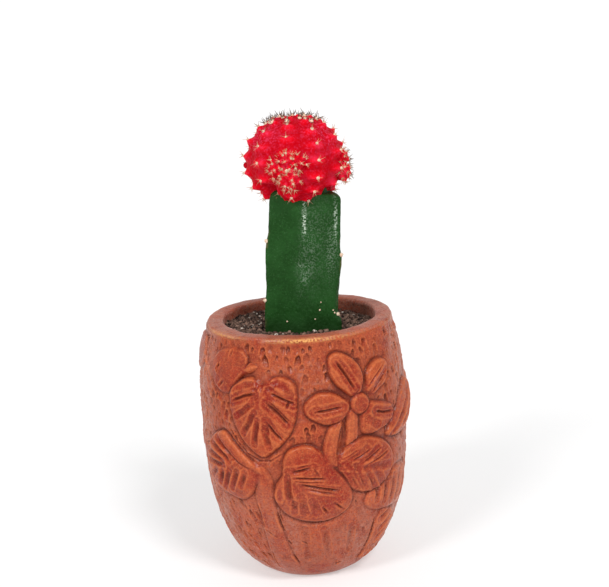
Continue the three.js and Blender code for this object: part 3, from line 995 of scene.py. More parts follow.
# From the lowest layer of the carving to the highest.
MOTIFS = (
    Motif(
        "trunk",
        ((-31, 46), (-24.6, 50), (-19.5, 45.7), (-18.8, 38), (-17.4, 29), (-14.2, 18.1), (-9, 2), (-29, 1),
         (-28.5, 9), (-28.3, 17.1), (-28.9, 28.2), (-30, 36.2)),
        rise=1.2, roll=3.4, groove=0.3, stain=0.25, fades_below=14,
    ),
    Motif(
        "lobedLeaf",
        ((-56.8, 88.2), (-50.3, 90.9), (-39.8, 92), (-34.3, 91.4), (-30.5, 89.3), (-30.8, 87.8),
         (-28.2, 87.2), (-25, 86.2), (-28, 84.3), (-32.4, 83), (-37, 79.6), (-42, 76),
         (-50, 75.5), (-57.5, 79), (-60, 84)),
        knife(((-33.8, 91), (-31, 89.3), (-30.6, 87.4), (-32.5, 85.5)), ((-42.3, 90.7), (-43, 88.7)))
        + knife(((-51.6, 85.6), (-52.6, 82.6)), ((-47, 79.8), (-50.5, 77.6)))
        + gouge(((-32, 83.4), (-37, 79.8))) + ridge(((-27, 86.2), (-32, 84.4))),
        rise=1.0, roll=3.0, groove=0.4, stain=0.8,
    ),
    Motif(
        "fanLeaf",
        ((-52, 60.5), (-61, 57.5), (-66.5, 52.5), (-69.5, 46.5), (-67.5, 40.6), (-60.3, 37.2), (-48.6, 35.8),
         (-38.2, 35.7), (-32.7, 38), (-28.7, 42), (-26.7, 47), (-33, 51), (-41, 56), (-46, 59.5)),
        gouge(((-60.4, 55.3), (-51.4, 53), (-44.3, 50.3)), ((-55, 57.7), (-47.5, 54.4), (-42.4, 51.8)),
              ((-65.1, 51.7), (-56.8, 50.6), (-49.4, 49.5)), ((-66.2, 48.2), (-57, 47.9), (-49, 48.2)),
              ((-50.4, 45.9), (-54.4, 40.6)), ((-44.9, 46.5), (-50.6, 39.3)), ((-39.4, 47), (-44.6, 39.8)),
              ((-34.6, 46.8), (-38, 41.6)), ((-56.6, 45.4), (-62.7, 42))),
        opens_at=(-27, 47),
    ),
    Motif(
        "fanRib",
        ((-54, 59.4), (-48.5, 61), (-42, 57.6), (-36, 54.2), (-30.2, 51.6), (-24.4, 49.7), (-23.8, 46.8),
         (-31, 48.2), (-38.5, 50.1), (-45.6, 53.6), (-52, 57)),
        rise=0.7, level=0.6, roll=2.0, groove=0.3, stain=0.5, opens_at=(-25, 48.2),
    ),
    Motif(
        "heartLeaf",
        ((-21.4, 80.4), (-27.9, 82.6), (-34.2, 81.6), (-42.1, 77.1), (-42.9, 71.2), (-40.2, 64),
         (-32.3, 56.8), (-23.1, 53.2), (-15.6, 56.4), (-8.2, 61.6), (-3.9, 68.4), (-2.6, 75.2),
         (-3.7, 80.7), (-9.8, 83.2), (-16.1, 82.7)),
        vein(((-26, 76.8), (-32.3, 75.7), (-40.1, 73.4)), ((-17.4, 77.5), (-11.7, 75.8), (-4.3, 73.4)),
             ((-18.8, 73.8), (-12.9, 70.1), (-7.8, 66.1)), ((-19.8, 67), (-15.8, 63.1), (-11.4, 59.8)))
        + knife(((-7.6, 74.1), (-8.5, 72.5))) + scratch(((-17.4, 74.2), (-12, 70.8), (-7, 66.9)))
        + gouge(((-27.5, 73.4), (-31.7, 70.7), (-37.5, 68)), ((-26, 70.4), (-29.5, 66.1), (-33.6, 62.1)),
                ((-24.2, 67.6), (-25.8, 63.2), (-27.3, 58.3)), ((-20.6, 65), (-20.2, 61.4), (-18.9, 57.4)))
        + flute(((-17.5, 79.6), (-13.5, 81), (-8.6, 79.4), (-7, 76.6)),
                ((-25.6, 79.6), (-31, 79.6), (-37, 77)))
        + midrib(((-21.5, 79.5), (-22, 73), (-22.8, 66), (-23.4, 60))),
        rise=1.5, roll=2.4, opens_at=(-21.5, 81), opening=4.5,
    ),
    Motif(
        "lowerLeaf",
        ((33.9, 32), (36.2, 36.3), (42.7, 38.7), (51.2, 40.4), (60.6, 42.3), (71, 41), (76.5, 34), (71, 27.5),
         (58, 25.8), (45.8, 27.2), (38, 29)),
        gouge(((41.6, 32.4), (42.6, 37.4)), ((47.8, 30.6), (49.6, 38.3)), ((54, 29.6), (56.6, 39.4)),
              ((60.3, 29.4), (62.6, 39.6)), ((66.4, 29.6), (68.4, 38.6))),
        rise=1.15, groove=0.5, stain=0.5,
    ),
    Motif(
        "frond",
        ((46.8, 26.8), (55.4, 26.5), (65.7, 22.5), (62.8, 18), (58.6, 14.1), (53.6, 9.7), (45.5, 5.5),
         (39.6, 7), (41.5, 12.5), (43.4, 20.2)),
        gouge(((64, 23.6), (49, 19.4)), ((62, 19.6), (48, 15.4)), ((59, 15.6), (46.6, 11.6)),
              ((58, 25.6), (47.6, 23.2)), ((54, 11.4), (45, 8.6))),
        rise=0.9, roll=1.8, groove=0.5, stain=0.2, fades_below=10,
    ),
    Motif(
        "leftStalk",
        ((21, 68.4), (20.6, 64.6), (19.2, 61.5), (17.3, 54.9), (17, 49), (9, 49.5), (8.8, 54.6), (9.6, 58.3),
         (12.8, 63.8), (16.8, 66.5)),
        rise=1.3, roll=1.8, groove=0.8, stain=0.4, opens_at=(13, 50),
    ),
    Motif(
        "rightStalk",
        ((24.4, 69.5), (29.6, 69.5), (29.7, 61), (29, 55.5), (24, 50), (18.5, 50.5), (21.6, 56.6),
         (22.4, 62.9)),
        rise=1.4, roll=1.8, groove=0.9, stain=0.4, opens_at=(20, 51.5),
    ),
    Motif(
        "stalkWedge", ((20.9, 65), (22, 58.6), (21.9, 54.8), (16.4, 53.4), (18.9, 59)),
        rise=-1.1, level=-0.2, roll=0.8, groove=0.0,
    ),
    Motif(
        "sidePetal",
        ((34, 70.5), (45.7, 69.6), (56, 66.4), (59.8, 62.4), (57.1, 60.3), (48.6, 59.2), (38.4, 58.4),
         (32.6, 59.4), (31, 62.5)),
        vein(((41, 66.6), (47.5, 65), (56.4, 63.9))) + flute(((36, 64.4), (42, 61.6))),
        rise=1.2, groove=0.45, stain=0.8, opens_at=(33.5, 67),
    ),
    Motif(
        "featherLeaf",
        ((16, 50), (19, 54), (24.5, 57), (32, 58.3), (41, 57), (49.3, 53.8), (55.3, 48.2), (53.9, 42.2),
         (47.6, 38), (40.1, 36.5), (33.3, 36.8), (26.6, 38.5), (20.8, 41.8), (17, 45.5)),
        scratch(((19.4, 51.8), (24.1, 52.9), (29.5, 54.4)), ((23.9, 50.3), (29.4, 51.4), (36.4, 53.6)),
                ((30, 48.9), (35.9, 50.2), (43.5, 52.6)), ((33.9, 48), (41, 48.9), (49.4, 50.6)))
        + flute(((16.4, 49.6), (23.8, 48.6), (31.2, 47.3), (40.3, 46.1), (51, 45)),
                ((21.5, 50.6), (27, 51.6), (33.4, 53.6)), ((27.4, 49.4), (33, 50.4), (40.6, 52.8)))
        + flute(((17.2, 48.6), (20.6, 44.9), (25.4, 40)), ((22, 47.7), (25.4, 43.9), (29.6, 38.4)),
                ((27.1, 46.8), (30.2, 43), (34.6, 37.6)), ((32.8, 45.9), (36, 42.2), (40, 37.4)),
                ((39.2, 44.9), (42.4, 41.8), (46, 38)))
        + scratch(((18.4, 46.6), (21.4, 43.4)), ((24, 45), (27.4, 40.8)), ((29, 44), (32.6, 39.4)),
                  ((35, 43), (38.2, 39))),
        opens_at=(16.5, 49.5), opening=8.0,
    ),
    Motif(
        "broadLeaf",
        ((-12.4, 53.2), (-8.9, 56.6), (-1.5, 58.3), (5, 57.2), (10.2, 54.2), (15.6, 48.6), (22.2, 42.7),
         (25.6, 37), (23.2, 32.2), (14.9, 28.9), (5.3, 27.8), (-4, 28.8), (-11.6, 31), (-16.9, 34.6),
         (-19.1, 39.1), (-17.4, 43.2), (-13.6, 47)),
        knife(((-6.9, 48.6), (-2.2, 49.2), (1.8, 50)), ((-6.8, 46.5), (0.9, 46), (9.3, 45.5)),
              ((-2.6, 43.7), (5.3, 42.1), (16.4, 40.2)), ((7.7, 34.5), (10.1, 32.1)),
              ((14.2, 35.7), (19.7, 32.3)))
        + scratch(((-5.8, 45.3), (0.5, 44.7), (7.6, 44.3)), ((-0.6, 42.2), (6, 40.7), (13.6, 39.4)),
                  ((3.5, 50), (6.3, 46.7)), ((-4.6, 50.1), (1.4, 51)))
        + flute(((-9.5, 48.6), (-2.8, 49.3), (3.5, 50)), ((-2.6, 43.6), (5.3, 42), (16.4, 40.1)),
                ((2.4, 37), (4.6, 32.4)), ((-3.5, 39), (-2.4, 33)))
        + gouge(((-10.3, 46.4), (-10.5, 41.3), (-9.2, 36.6)), ((-7.4, 36.6), (-7.8, 33)))
        + ridge(((-14.9, 42.4), (-12.9, 41.1), (-13, 38.6), (-14.6, 36.6), (-17, 37.4), (-17.6, 39.3),
                 (-16.9, 41.3), (-14.9, 42.4))),
        rise=1.5, roll=2.8, opens_at=(12, 53), opening=8.5,
    ),
    Motif(
        "upperPetal",
        ((15.6, 89), (20.5, 90.4), (28.6, 88), (34, 83.7), (35.4, 80), (34.2, 76.5), (31.6, 73.6),
         (27.4, 73.4), (22.6, 75.8), (17.6, 79.4), (14.6, 84.2)),
        vein(((19.2, 87.1), (23, 83), (28.6, 76.3))), roll=1.7, opens_at=(31, 73.5),
    ),
    Motif(
        "rightPetal",
        ((35.8, 74.4), (36.2, 77.8), (38.5, 82.1), (46.2, 84.8), (53.7, 83.8), (55, 80.5), (52.1, 76.8),
         (46.5, 74.2), (40.6, 72.6)),
        vein(((51.7, 79.9), (45.8, 77), (40.2, 73.9))) + scratch(((48.6, 82), (41.6, 79), (37.6, 76.4))),
        roll=1.7, opens_at=(36.8, 73.4),
    ),
    Motif(
        "leftPetal",
        ((-0.2, 72.4), (3, 75.2), (8.5, 77), (16.2, 76.4), (21.9, 74), (26, 71.4), (24.6, 68), (18.4, 65.2),
         (11.3, 64.8), (4.6, 66.8), (0.4, 69.6)),
        vein(((6, 70.2), (11.7, 70.4), (20.4, 70.9))) + scratch(((7, 69), (9.4, 67.9))),
        roll=1.7, opens_at=(26, 70),
    ),
    Motif(
        "sideLeaf",
        ((76, 73.5), (67, 70), (60, 64), (49, 56.5), (58, 54), (70, 54), (82, 56), (88, 64), (84, 71)),
        gouge(((75, 70.5), (71.5, 65.9), (66, 61.6), (60.4, 58.4), (54, 56)),
              ((79.6, 69), (76, 63), (71.6, 59.8), (65.4, 57.4)), ((83.6, 66), (80.4, 60.5), (76, 57.9))),
        rise=2.3, roll=3.4,
    ),
    Motif(
        "budLeaf",
        ((-72, 91.5), (-84, 93), (-97, 90), (-99, 84), (-90, 79), (-78, 80.5), (-70, 86)),
        rise=0.9, roll=3.6, groove=0.3, mirrored=False,
    ),
)

# Cut last, over the motifs.
MARKS = (
    knife(((-29.6, 34.2), (-28.6, 29.6), (-27.5, 25.8)), ((-18.3, 32.2), (-17, 27.6), (-15.6, 24.6)),
          ((-26.9, 14.6), (-26.6, 6.6)), ((-12.1, 13.4), (-9.2, 9.6)), ((-13.5, 19.8), (-12.5, 18.8)),
          ((19.6, 6.9), (22.9, 7.8)), ((40.5, 10.6), (39.4, 7.4)), ((-51.2, 85.1), (-53.9, 83.3)),
          ((-64.6, 88.6), (-65.4, 86.4)), ((-70.4, 80.4), (-70.9, 77.6)), ((-76.5, 45.5), (-75.5, 42.5)),
          ((43.4, 24.4), (42.6, 18.6), (41, 12.4)))
    + scratch(((-26.7, 24.8), (-21.5, 22.4)), ((-28.2, 33.2), (-27.4, 28.6)), ((-16.9, 32.4), (-15.7, 28)),
              ((-44.6, 63), (-40, 58.5), (-33.2, 54.2), (-25.8, 51.9), (-19.5, 52), (-13.5, 54.6)),
              ((-6.5, 20.5), (-1.8, 18.2)), ((62, 82), (60.5, 76)), ((66, 86), (65, 79)),
              ((70, 80), (69, 74)), ((58.5, 88), (58, 84)), ((73, 88), (72, 83)))
    + flute(((9, 24.3), (12, 12)), ((-3, 25), (-2.6, 12)), ((26, 24), (27, 14)))
    + ridge(((-71.3, 86.7), (-63.2, 80.6), (-56, 74.6), (-48.5, 70.4)),
            ((-70, 92), (-68.5, 84), (-64, 76), (-58, 69)))
)


@dataclass(frozen=True)
class FlowerEye:
    """The round middle of the flower."""

    azimuth: float = 31.6
    height: float = 70.7
    radius: float = 3.95
    corners: int = 8

    def motif(self, wall: float) -> Motif:
        """The eye as a motif on a wall of that radius.

        Args:
            wall: The wall's radius.

        Returns:
            The motif.
        """
        reach = math.degrees(self.radius / wall)
        angles = [TURN * k / self.corners for k in range(self.corners)]
        outline = (
            (self.azimuth + reach * math.sin(angle), self.height + self.radius * math.cos(angle))
            for angle in angles
        )
        return Motif("flowerEye", tuple(outline), rise=0.35, level=0.45, roll=0.8, groove=0.85)


@dataclass(frozen=True)
class Stipple:
    """Short scoops in uneven rows, each with a steep upper wall and a long slope below it.

    Attributes:
        pitch: The distance between two scoops along the wall and between two rows.
        size: A scoop's half width and half height.
        depth: How deep it is.
        lean: How far its top leans to the left.
        band: The heights between which the scoops lie.
        shift: How far one is off its place, as a share of the pitch.
        sizes: The range of its size, as a share.
        depths: The range of its depth, as a share.
        swing: How much its lean varies.
    """

    pitch: tuple[float, float]
    size: tuple[float, float]
    depth: float
    lean: float
    band: tuple[float, float]
    shift: float = 0.3
    sizes: tuple[float, float] = (0.6, 1.25)
    depths: tuple[float, float] = (0.3, 1.15)
    swing: float = 0.25


STIPPLES = (
    Stipple(pitch=(3.7, 3.6), size=(1.05, 1.65), depth=0.9, lean=0.0, band=(47, 93.8)),
    Stipple(pitch=(3.4, 4.2), size=(1.05, 2.0), depth=0.8, lean=0.35, band=(5, 47)),
)


@dataclass(frozen=True)
class Patch:
    """The part of the wall's grid round a motif or a cut.

    Attributes:
        cells: The rows and columns of the grid.
        x: How far along the wall each cell lies.
        y: How high each cell lies.
        middle: The azimuth that x is counted from.
        mirrored: Whether this is the mirror image on the back.
    """

    cells: tuple[Array, Array]
    x: Array
    y: Array
    middle: float
    mirrored: bool


@dataclass
class Carving:
    """The relief of the pot's wall, on a grid of azimuths and heights.

    Attributes:
        azimuths: The grid's azimuths, in degrees.
        heights: The grid's heights.
        wall: The radius that turns degrees into millimetres along the wall.
        noise: The noise that makes it uneven.
        skipped: The share of the scoops that are left out.
        plain_front: The azimuths between which the lower wall has no scoops.
        plain_top: Where the plain and faintly scooped part of the wall ends.
        faint_end: The azimuth where the faint scoops right of the plain part end.
        faint: How deep these are, as a share.
        groove_depth: Depth of the groove round a motif.
        leaf_side: Width of the groove's side towards the motif.
        ground_side: Width of its side towards the ground.
        burr: Height of the raised edge beside a cut.
        margin: How far round a line the wall is worked.
    """

    azimuths: Array
    heights: Array
    wall: float
    noise: LatticeNoise
    ground_level: float = -0.2
    ground_lumps: float = 0.24
    side_flutes: float = 0.5
    leaf_lumps: float = 0.16
    skipped: float = 0.08
    plain_front: tuple[float, float] = (-30.0, 16.0)
    plain_top: float = 30.0
    faint_end: float = 46.0
    faint: float = 0.4
    groove_depth: float = 0.72
    leaf_side: float = 0.4
    ground_side: float = 0.95
    burr: float = 0.13
    margin: float = 4.0
    curve_steps: int = 8
    seed: int = 41

    def __post_init__(self) -> None:
        """Lays out every motif before anything is carved."""
        angle, height = np.meshgrid(np.radians(self.azimuths), self.heights)
        self.place = polar(self.wall, angle, height)
        self.free = np.full(angle.shape, self.margin)
        self.stain = np.zeros(angle.shape)
        self.laid = []
        for motif in (*MOTIFS, FlowerEye().motif(self.wall)):
            for mirrored in (False, True) if motif.mirrored else (False,):
                self._lay(motif, self._patch(motif.outline, mirrored))

    def _lay(self, motif: Motif, patch: Patch) -> None:
        """Keeps the scoops off a motif's patch, and stains it.

        Args:
            motif: The motif.
            patch: Its part of the grid.
        """
        outline = closed_curve(self._flat(motif.outline, patch.middle, patch.mirrored), self.curve_steps)
        depth = depth_inside(patch.x, patch.y, outline)
        self.laid.append((motif, patch, depth))
        if motif.rise > 0:
            self.free[patch.cells] = np.minimum(self.free[patch.cells], -depth)
            share = smoothstep(depth, -0.8, 1.0) * self._kept(motif, patch)
            self.stain[patch.cells] = mix(self.stain[patch.cells], motif.stain, share)

    def _flat(self, line: Line, middle: float, mirrored: bool) -> Array:
        """Unrolls a line from the wall.

        Args:
            line: The line.
            middle: The azimuth that counts as 0.
            mirrored: Whether it is mirrored on the back.

        Returns:
            Its points in millimetres along and up the wall, as rows.
        """
        points = np.array(line, float)
        azimuth = 180 - points[:, 0] if mirrored else points[:, 0]
        turned = (azimuth - middle + 180) % 360 - 180
        return np.stack((np.radians(turned) * self.wall, points[:, 1]), axis=-1)

    def _patch(self, line: Line, mirrored: bool) -> Patch:
        """Finds the part of the grid round a line.

        Args:
            line: The line.
            mirrored: Whether it is mirrored on the back.

        Returns:
            The patch.
        """
        mean = float(np.mean([corner[0] for corner in line]))
        middle = 180 - mean if mirrored else mean
        along = np.radians((self.azimuths - middle + 180) % 360 - 180) * self.wall
        points = self._flat(line, middle, mirrored)
        low, high = points.min(axis=0) - self.margin, points.max(axis=0) + self.margin
        columns = np.nonzero((along > low[0]) & (along < high[0]))[0]
        rows = np.nonzero((self.heights > low[1]) & (self.heights < high[1]))[0]
        x, y = np.meshgrid(along[columns], self.heights[rows])
        return Patch(np.ix_(rows, columns), x, y, middle, mirrored)

    def _stipple(self, stipple: Stipple, draw: np.random.Generator) -> Array:
        """Cuts one kind of scoop over the whole wall.

        Args:
            stipple: The scoops.
            draw: The stream of random draws.

        Returns:
            How deep they go at each point of the grid.
        """
        dents = np.zeros(self.free.shape)
        (wide, tall), (half_wide, half_tall), (low, high) = stipple.pitch, stipple.size, stipple.band
        around = np.radians(self.azimuths) * self.wall
        girth = TURN * self.wall
        ragged = self.noise(self.place + 23, 1.5, 2)
        for row, column in np.ndindex(int((high - low) / tall), int(girth / wide)):
            shift = draw.uniform(-stipple.shift, stipple.shift, 2) + (0.5 * (row % 2), 0)
            x = (column + shift[0]) * wide
            y = high - (row + 0.4 + shift[1]) * tall
            size = draw.uniform(*stipple.sizes)
            lean = stipple.lean + draw.uniform(-stipple.swing, stipple.swing)
            depth = stipple.depth * draw.uniform(*stipple.depths) * self._worked(x, y)
            nearest = np.argmin(abs(self.heights - y)), round(x / around[1]) % len(around)
            if draw.random() < self.skipped or self.free[nearest] < 0.7 * half_wide * size:
                continue
            near_x = (around - x + girth / 2) % girth - girth / 2
            near_y = self.heights - y
            reach = 1.6 * size * half_tall
            rows, columns = np.nonzero(abs(near_y) < reach)[0], np.nonzero(abs(near_x) < reach)[0]
            cells = np.ix_(rows, columns)
            dx, dy = np.meshgrid(near_x[columns], near_y[rows])
            across = (dx + lean * dy) / (half_wide * size) + 0.22 * ragged[cells]
            up = dy / (half_tall * size) + 0.4 * across**2 - 0.25 * ragged[cells]
            slope = np.clip((up + 1.3) / 1.9, 0, 1) * smoothstep(-up, -1.0, -0.45)
            rim = 0.2 * bell(np.hypot(across, up) - 1.25, 0.3)
            dents[cells] += depth * (size * slope * np.sqrt(np.maximum(0, 1 - across**2)) - rim)
        return dents

    def _worked(self, along: float, height: float) -> float:
        """How deep the scoops go, which is less under the leaves at the front and the back.

        Args:
            along: How far along the wall they lie.
            height: Their height.

        Returns:
            A share from 0 to 1.
        """
        azimuth = (math.degrees(along / self.wall) + 180) % 360 - 180
        from_front = math.copysign(180, azimuth) - azimuth if abs(azimuth) > 90 else azimuth
        low, high = self.plain_front
        if height > self.plain_top or from_front < low or from_front > self.faint_end:
            return 1.0
        return 0.0 if from_front < high else self.faint

    def relief(self) -> Array:
        """Carves the wall.

        Returns:
            Height over the plain wall, of shape heights, azimuths.
        """
        draw = np.random.default_rng(self.seed)
        noise, place = self.noise, self.place
        relief = self.ground_level + self.ground_lumps * noise(place, 9, 3)
        relief = relief + 0.1 * noise(place * (1, 1, 0.12), 2.6, 2)
        dents = sum(self._stipple(stipple, draw) for stipple in STIPPLES)
        relief -= dents * smoothstep(self.free, 0.1, 1.1)
        side = smoothstep(np.abs(place[..., 0]) / self.wall, 0.8, 0.95) * smoothstep(self.free, 0, 1.5)
        relief -= self.side_flutes * side * np.maximum(0, noise(place * (1, 1, 0.2), 2.0, 1))
        for motif, patch, depth in self.laid:
            self._carve(relief, motif, patch, depth)
        for cut in MARKS:
            for mirrored in (False, True):
                patch = self._patch(cut.line, mirrored)
                relief[patch.cells] -= self._tooled(cut, patch)
        return relief + 0.07 * noise(place, 1.4, 2)

    def _tooled(self, cut: Cut, patch: Patch) -> Array:
        """Makes one cut.

        Args:
            cut: The cut.
            patch: The part of the grid round it.

        Returns:
            How deep it goes at each point of the patch.
        """
        line = self._flat(cut.line, patch.middle, patch.mirrored)
        away = distance_to_line(patch.x, patch.y, line)
        to_end = np.minimum(*(np.hypot(patch.x - end[0], patch.y - end[1]) for end in (line[0], line[-1])))
        half = np.linalg.norm(np.diff(line, axis=0), axis=1).sum() / 2
        taper = 0.35 + 0.65 * smoothstep(to_end, 0, min(2.2, half))
        wobble = 1 + 0.25 * self.noise(self.place[patch.cells] + 11, 3)
        share = np.clip(1 - 2 * away / (cut.width * wobble), 0, 1)
        hollow = share if cut.sharp else np.sin(share * math.pi / 2) ** 1.4
        rim = self.burr * bell(away - cut.width / 2 - 0.2, 0.35) * (cut.depth > 0)
        return cut.depth * taper * hollow - rim * taper

    def _kept(self, motif: Motif, patch: Patch) -> Array:
        """The share of a motif that is left where it runs out into the wall.

        Args:
            motif: The motif.
            patch: Its part of the grid.

        Returns:
            The share at each point of the patch.
        """
        if motif.fades_below:
            return smoothstep(patch.y, motif.fades_below - 14, motif.fades_below)
        return np.ones(patch.y.shape)

    def _carve(self, relief: Array, motif: Motif, patch: Patch, depth: Array) -> None:
        """Carves one motif over what is there.

        Args:
            relief: The whole relief, which it changes.
            motif: The motif.
            patch: Its part of the grid.
            depth: How far each point of the patch lies inside its outline.
        """
        spots = self.place[patch.cells]
        inside, outside = np.maximum(depth, 0), np.maximum(-depth, 0)
        top = motif.level + motif.rise * (1 - np.exp(-inside / motif.roll))
        top = top + self.leaf_lumps * self.noise(spots, 4.2, 3)
        for cut in motif.cuts:
            top -= self._tooled(cut, patch)
        top += self.burr * bell(inside - 1.0, 0.4)
        kept = self._kept(motif, patch)
        facing_up = np.clip(-np.gradient(depth, patch.y[:, 0], axis=0), -1, 1)
        lit = 0.55 + np.where(facing_up > 0, 0.45 * facing_up, -0.2 * facing_up)
        strength = motif.groove * kept * np.maximum(0, lit + 0.5 * self.noise(spots + 5, 6, 2))
        soft = 0.18
        if motif.opens_at:
            spot = self._flat((motif.opens_at,), patch.middle, patch.mirrored)[0]
            closed = smoothstep(np.hypot(patch.x - spot[0], patch.y - spot[1]), 2, motif.opening)
            strength = strength * closed
            top = mix(np.maximum(top, relief[patch.cells]), top, closed)
            soft = mix(2.0, soft, closed)
        groove = self.groove_depth * strength
        cliff, bank = np.exp(-inside / self.leaf_side) * groove, np.exp(-outside / self.ground_side) * groove
        rim = self.burr * motif.groove * kept * bell(outside - 1.7, 0.6) * smoothstep(-facing_up, -0.2, 0.6)
        ground = relief[patch.cells] - bank + rim
        relief[patch.cells] = mix(ground, top - cliff, smoothstep(depth / soft, -1, 1) * kept)


# ---------------------------------------------------------------- the pot


@dataclass
class CarvedPot:
    """The pot: a carved barrel with a thick lip, a cavity, a floor and a drain hole.

    Attributes:
        lip_drop: How far below the top the lip's outer edge begins.
        inner_lip_drop: How far below the top its inner edge begins.
        throat_height: Height below which the cavity follows the wall.
        floor_corner: How far in and up the corner of the cavity's floor is cut.
        sides: How many points each ring of the mesh has.
        row_pitch: The distance between two rings of the wall.
        thrown_lumps: How uneven the plain clay is.
        lip_dips: How uneven the top of the lip is.
    """

    height: float = 96.2
    base_radius: float = 18
    belly_radius: float = 38.3
    belly_height: float = 58
    rim_radius: float = 34.4
    mouth_radius: float = 28.2
    lip_drop: float = 1.3
    inner_lip_drop: float = 1.4
    throat_height: float = 84
    wall_thickness: float = 6
    floor_thickness: float = 6
    floor_corner: tuple[float, float] = (5, 3)
    drain_radius: float = 4
    sides: int = 900
    row_pitch: float = 0.29
    thrown_lumps: float = 0.26
    lip_dips: float = 0.3
    finish: FiredClay = field(default_factory=FiredClay)

    def wall_line(self) -> Array:
        """The plain wall's (radius, height) line, from the base to the lip.

        Returns:
            The line's points, as rows.
        """
        base, belly = self.base_radius, self.belly_radius
        stations = [
            (base, 0), (base + 4.9, 3.2), (mix(base, belly, 0.51), 9.5), (mix(base, belly, 0.735), 18.9),
            (belly - 2, 31.6), (belly - 0.2, 46.3), (belly, self.belly_height), (belly - 0.15, 75.8),
            (self.rim_radius + 1.7, 88.4), (self.rim_radius, self.height - self.lip_drop),
        ]
        return spline(stations, 40)

    def cavity_radius(self, height: Array) -> Array:
        """Radius of the cavity at a height."""
        line = self.wall_line()
        return np.interp(height, line[:, 1], line[:, 0]) - self.wall_thickness

    def _even(self, line: Array, pitch: float) -> Array:
        """Spaces a line's points evenly.

        Args:
            line: The points, as rows.
            pitch: The distance between two of them.

        Returns:
            The new points, as rows.
        """
        run = np.concatenate(([0], np.cumsum(np.linalg.norm(np.diff(line, axis=0), axis=1))))
        stations = np.linspace(0, run[-1], int(run[-1] / pitch) + 1)
        return np.stack([np.interp(stations, run, line[:, axis]) for axis in (0, 1)], axis=-1)

    def _lip_line(self) -> Array:
        """The lip's (radius, height) line, from the wall over the top and into the mouth.

        Returns:
            The line's points, as rows.
        """
        outer, inner, top = self.rim_radius, self.mouth_radius, self.height
        stations = [
            (outer, top - self.lip_drop), (outer - 0.12, top - 0.55), (outer - 0.65, top - 0.12),
            ((inner + outer) / 2, top), (inner + 0.8, top - 0.08), (inner + 0.2, top - 0.45),
            (inner, top - self.inner_lip_drop),
        ]
        return self._even(spline(stations, 8), 2 * self.row_pitch)[1:-1]

    def _inside_line(self) -> Array:
        """The (radius, height) line down the cavity, over the floor and through the drain hole.

        Returns:
            The line's points, as rows.
        """
        run, rise = self.floor_corner
        floor, drain = self.floor_thickness, self.drain_radius
        heights = np.linspace(self.throat_height, floor + rise, 40)
        wall = np.stack((self.cavity_radius(heights), heights), axis=-1)
        mouth = (self.mouth_radius, self.height - self.inner_lip_drop)
        throat = spline([mouth, (self.cavity_radius(89.5) - 1.2, 89.5), tuple(wall[0])], 6)[:-1]
        bottom = [(wall[-1][0] - run, floor), (drain + 0.4, floor), (drain, floor - 0.4), (drain, 0.4)]
        return np.vstack((throat, wall, bottom, (drain + 0.4, 0)))

    def build(self, palette: Palette) -> None:
        """Makes the pot in the place of its node.

        Args:
            palette: The shared node groups.
        """
        noise = LatticeNoise(5)
        wall = self._even(self.wall_line(), self.row_pitch)
        azimuths = np.arange(self.sides) * 360 / self.sides
        carving = Carving(azimuths, wall[:, 1], self.belly_radius, noise)
        carved = smoothstep(wall[:, 1], 0, 3.5) * smoothstep(wall[:, 1], self.height - 1.3, 92.5)
        slope = np.gradient(wall, axis=0)
        line = np.vstack((wall, self._lip_line(), self._inside_line()))
        lift = np.zeros((len(line), self.sides))
        lift[:len(wall)] = carving.relief() * carved[:, None]
        outward = np.zeros(line.shape)
        outward[:len(wall)] = unit(np.stack((slope[:, 1], -slope[:, 0]), axis=-1))
        angle = np.radians(azimuths)[None, :]
        worked = smoothstep(line[:, 1], 20, 60)[:, None] * (lift == 0)
        unevenness = noise(polar(self.belly_radius, angle, line[:, 1:]), 12, 3) * worked
        radius = line[:, :1] + outward[:, :1] * lift + self.thrown_lumps * unevenness
        top = line[:, 1:] > self.height - 3
        height = line[:, 1:] + outward[:, 1:] * lift - self.lip_dips * np.abs(unevenness) * top
        points = polar(radius, angle, height)
        tones = self._tones(lift, carving) | {"wear_and_glint": self._wear_and_glint(line, points, noise)}
        draft = Draft()
        draft.add(points, ring_quads(*radius.shape, closed=True).tolist(), **tones)
        draft.build("pot_body", self.finish.material(palette), Slot.TERRACOTTA, "pot")

    def _tones(self, lift: Array, carving: Carving) -> dict[str, Array]:
        """Finds where the wall gets painted shade in its recesses and inside the cavity, where it stands
        proud and is paler, partly rubbed stain and partly painted highlight, where it is stained dark, and
        where it is pale with chalk and painted sheen.

        Args:
            lift: Height over the plain surface, in rings from the base up and into the pot.
            carving: The carving of the rings that are the wall.

        Returns:
            The value of each tone at each point, from 0 to 1.
        """
        noise, place = carving.noise, carving.place
        wall_rows = len(carving.heights)
        row = np.arange(len(lift))[:, None] + 0 * lift
        on_wall = row < wall_rows
        # painted shade in the recesses (deep), and paler raised parts (proud), partly rubbed stain and partly
        # painted highlight
        away, near = lift - blurred(lift, 9), lift - blurred(lift, 2)
        deep = np.clip(-(away + 0.04) / 0.7, 0, 1) + 0.75 * np.clip(-(near + 0.03) / 0.26, 0, 1)
        proud = 0.8 * np.clip((away - 0.12) / 0.5, 0, 1) + 0.6 * np.clip((near - 0.02) / 0.12, 0, 1)
        deep[:wall_rows] *= 0.85 + 0.5 * noise(place + 3, 8, 2)
        # painted shade on the cavity's inner wall
        inside = 0.8 * smoothstep(row, wall_rows + 20, wall_rows + 30)
        stain, ash = np.zeros(lift.shape), np.zeros(lift.shape)
        stain[:wall_rows] = carving.stain * (0.85 + 0.4 * noise(place, 7, 2))
        x, y, z = np.moveaxis(place, -1, 0)
        side = np.abs(x) / carving.wall
        front = bell(x - 4, 11) * bell(z - 80, 11) * (y < 0)
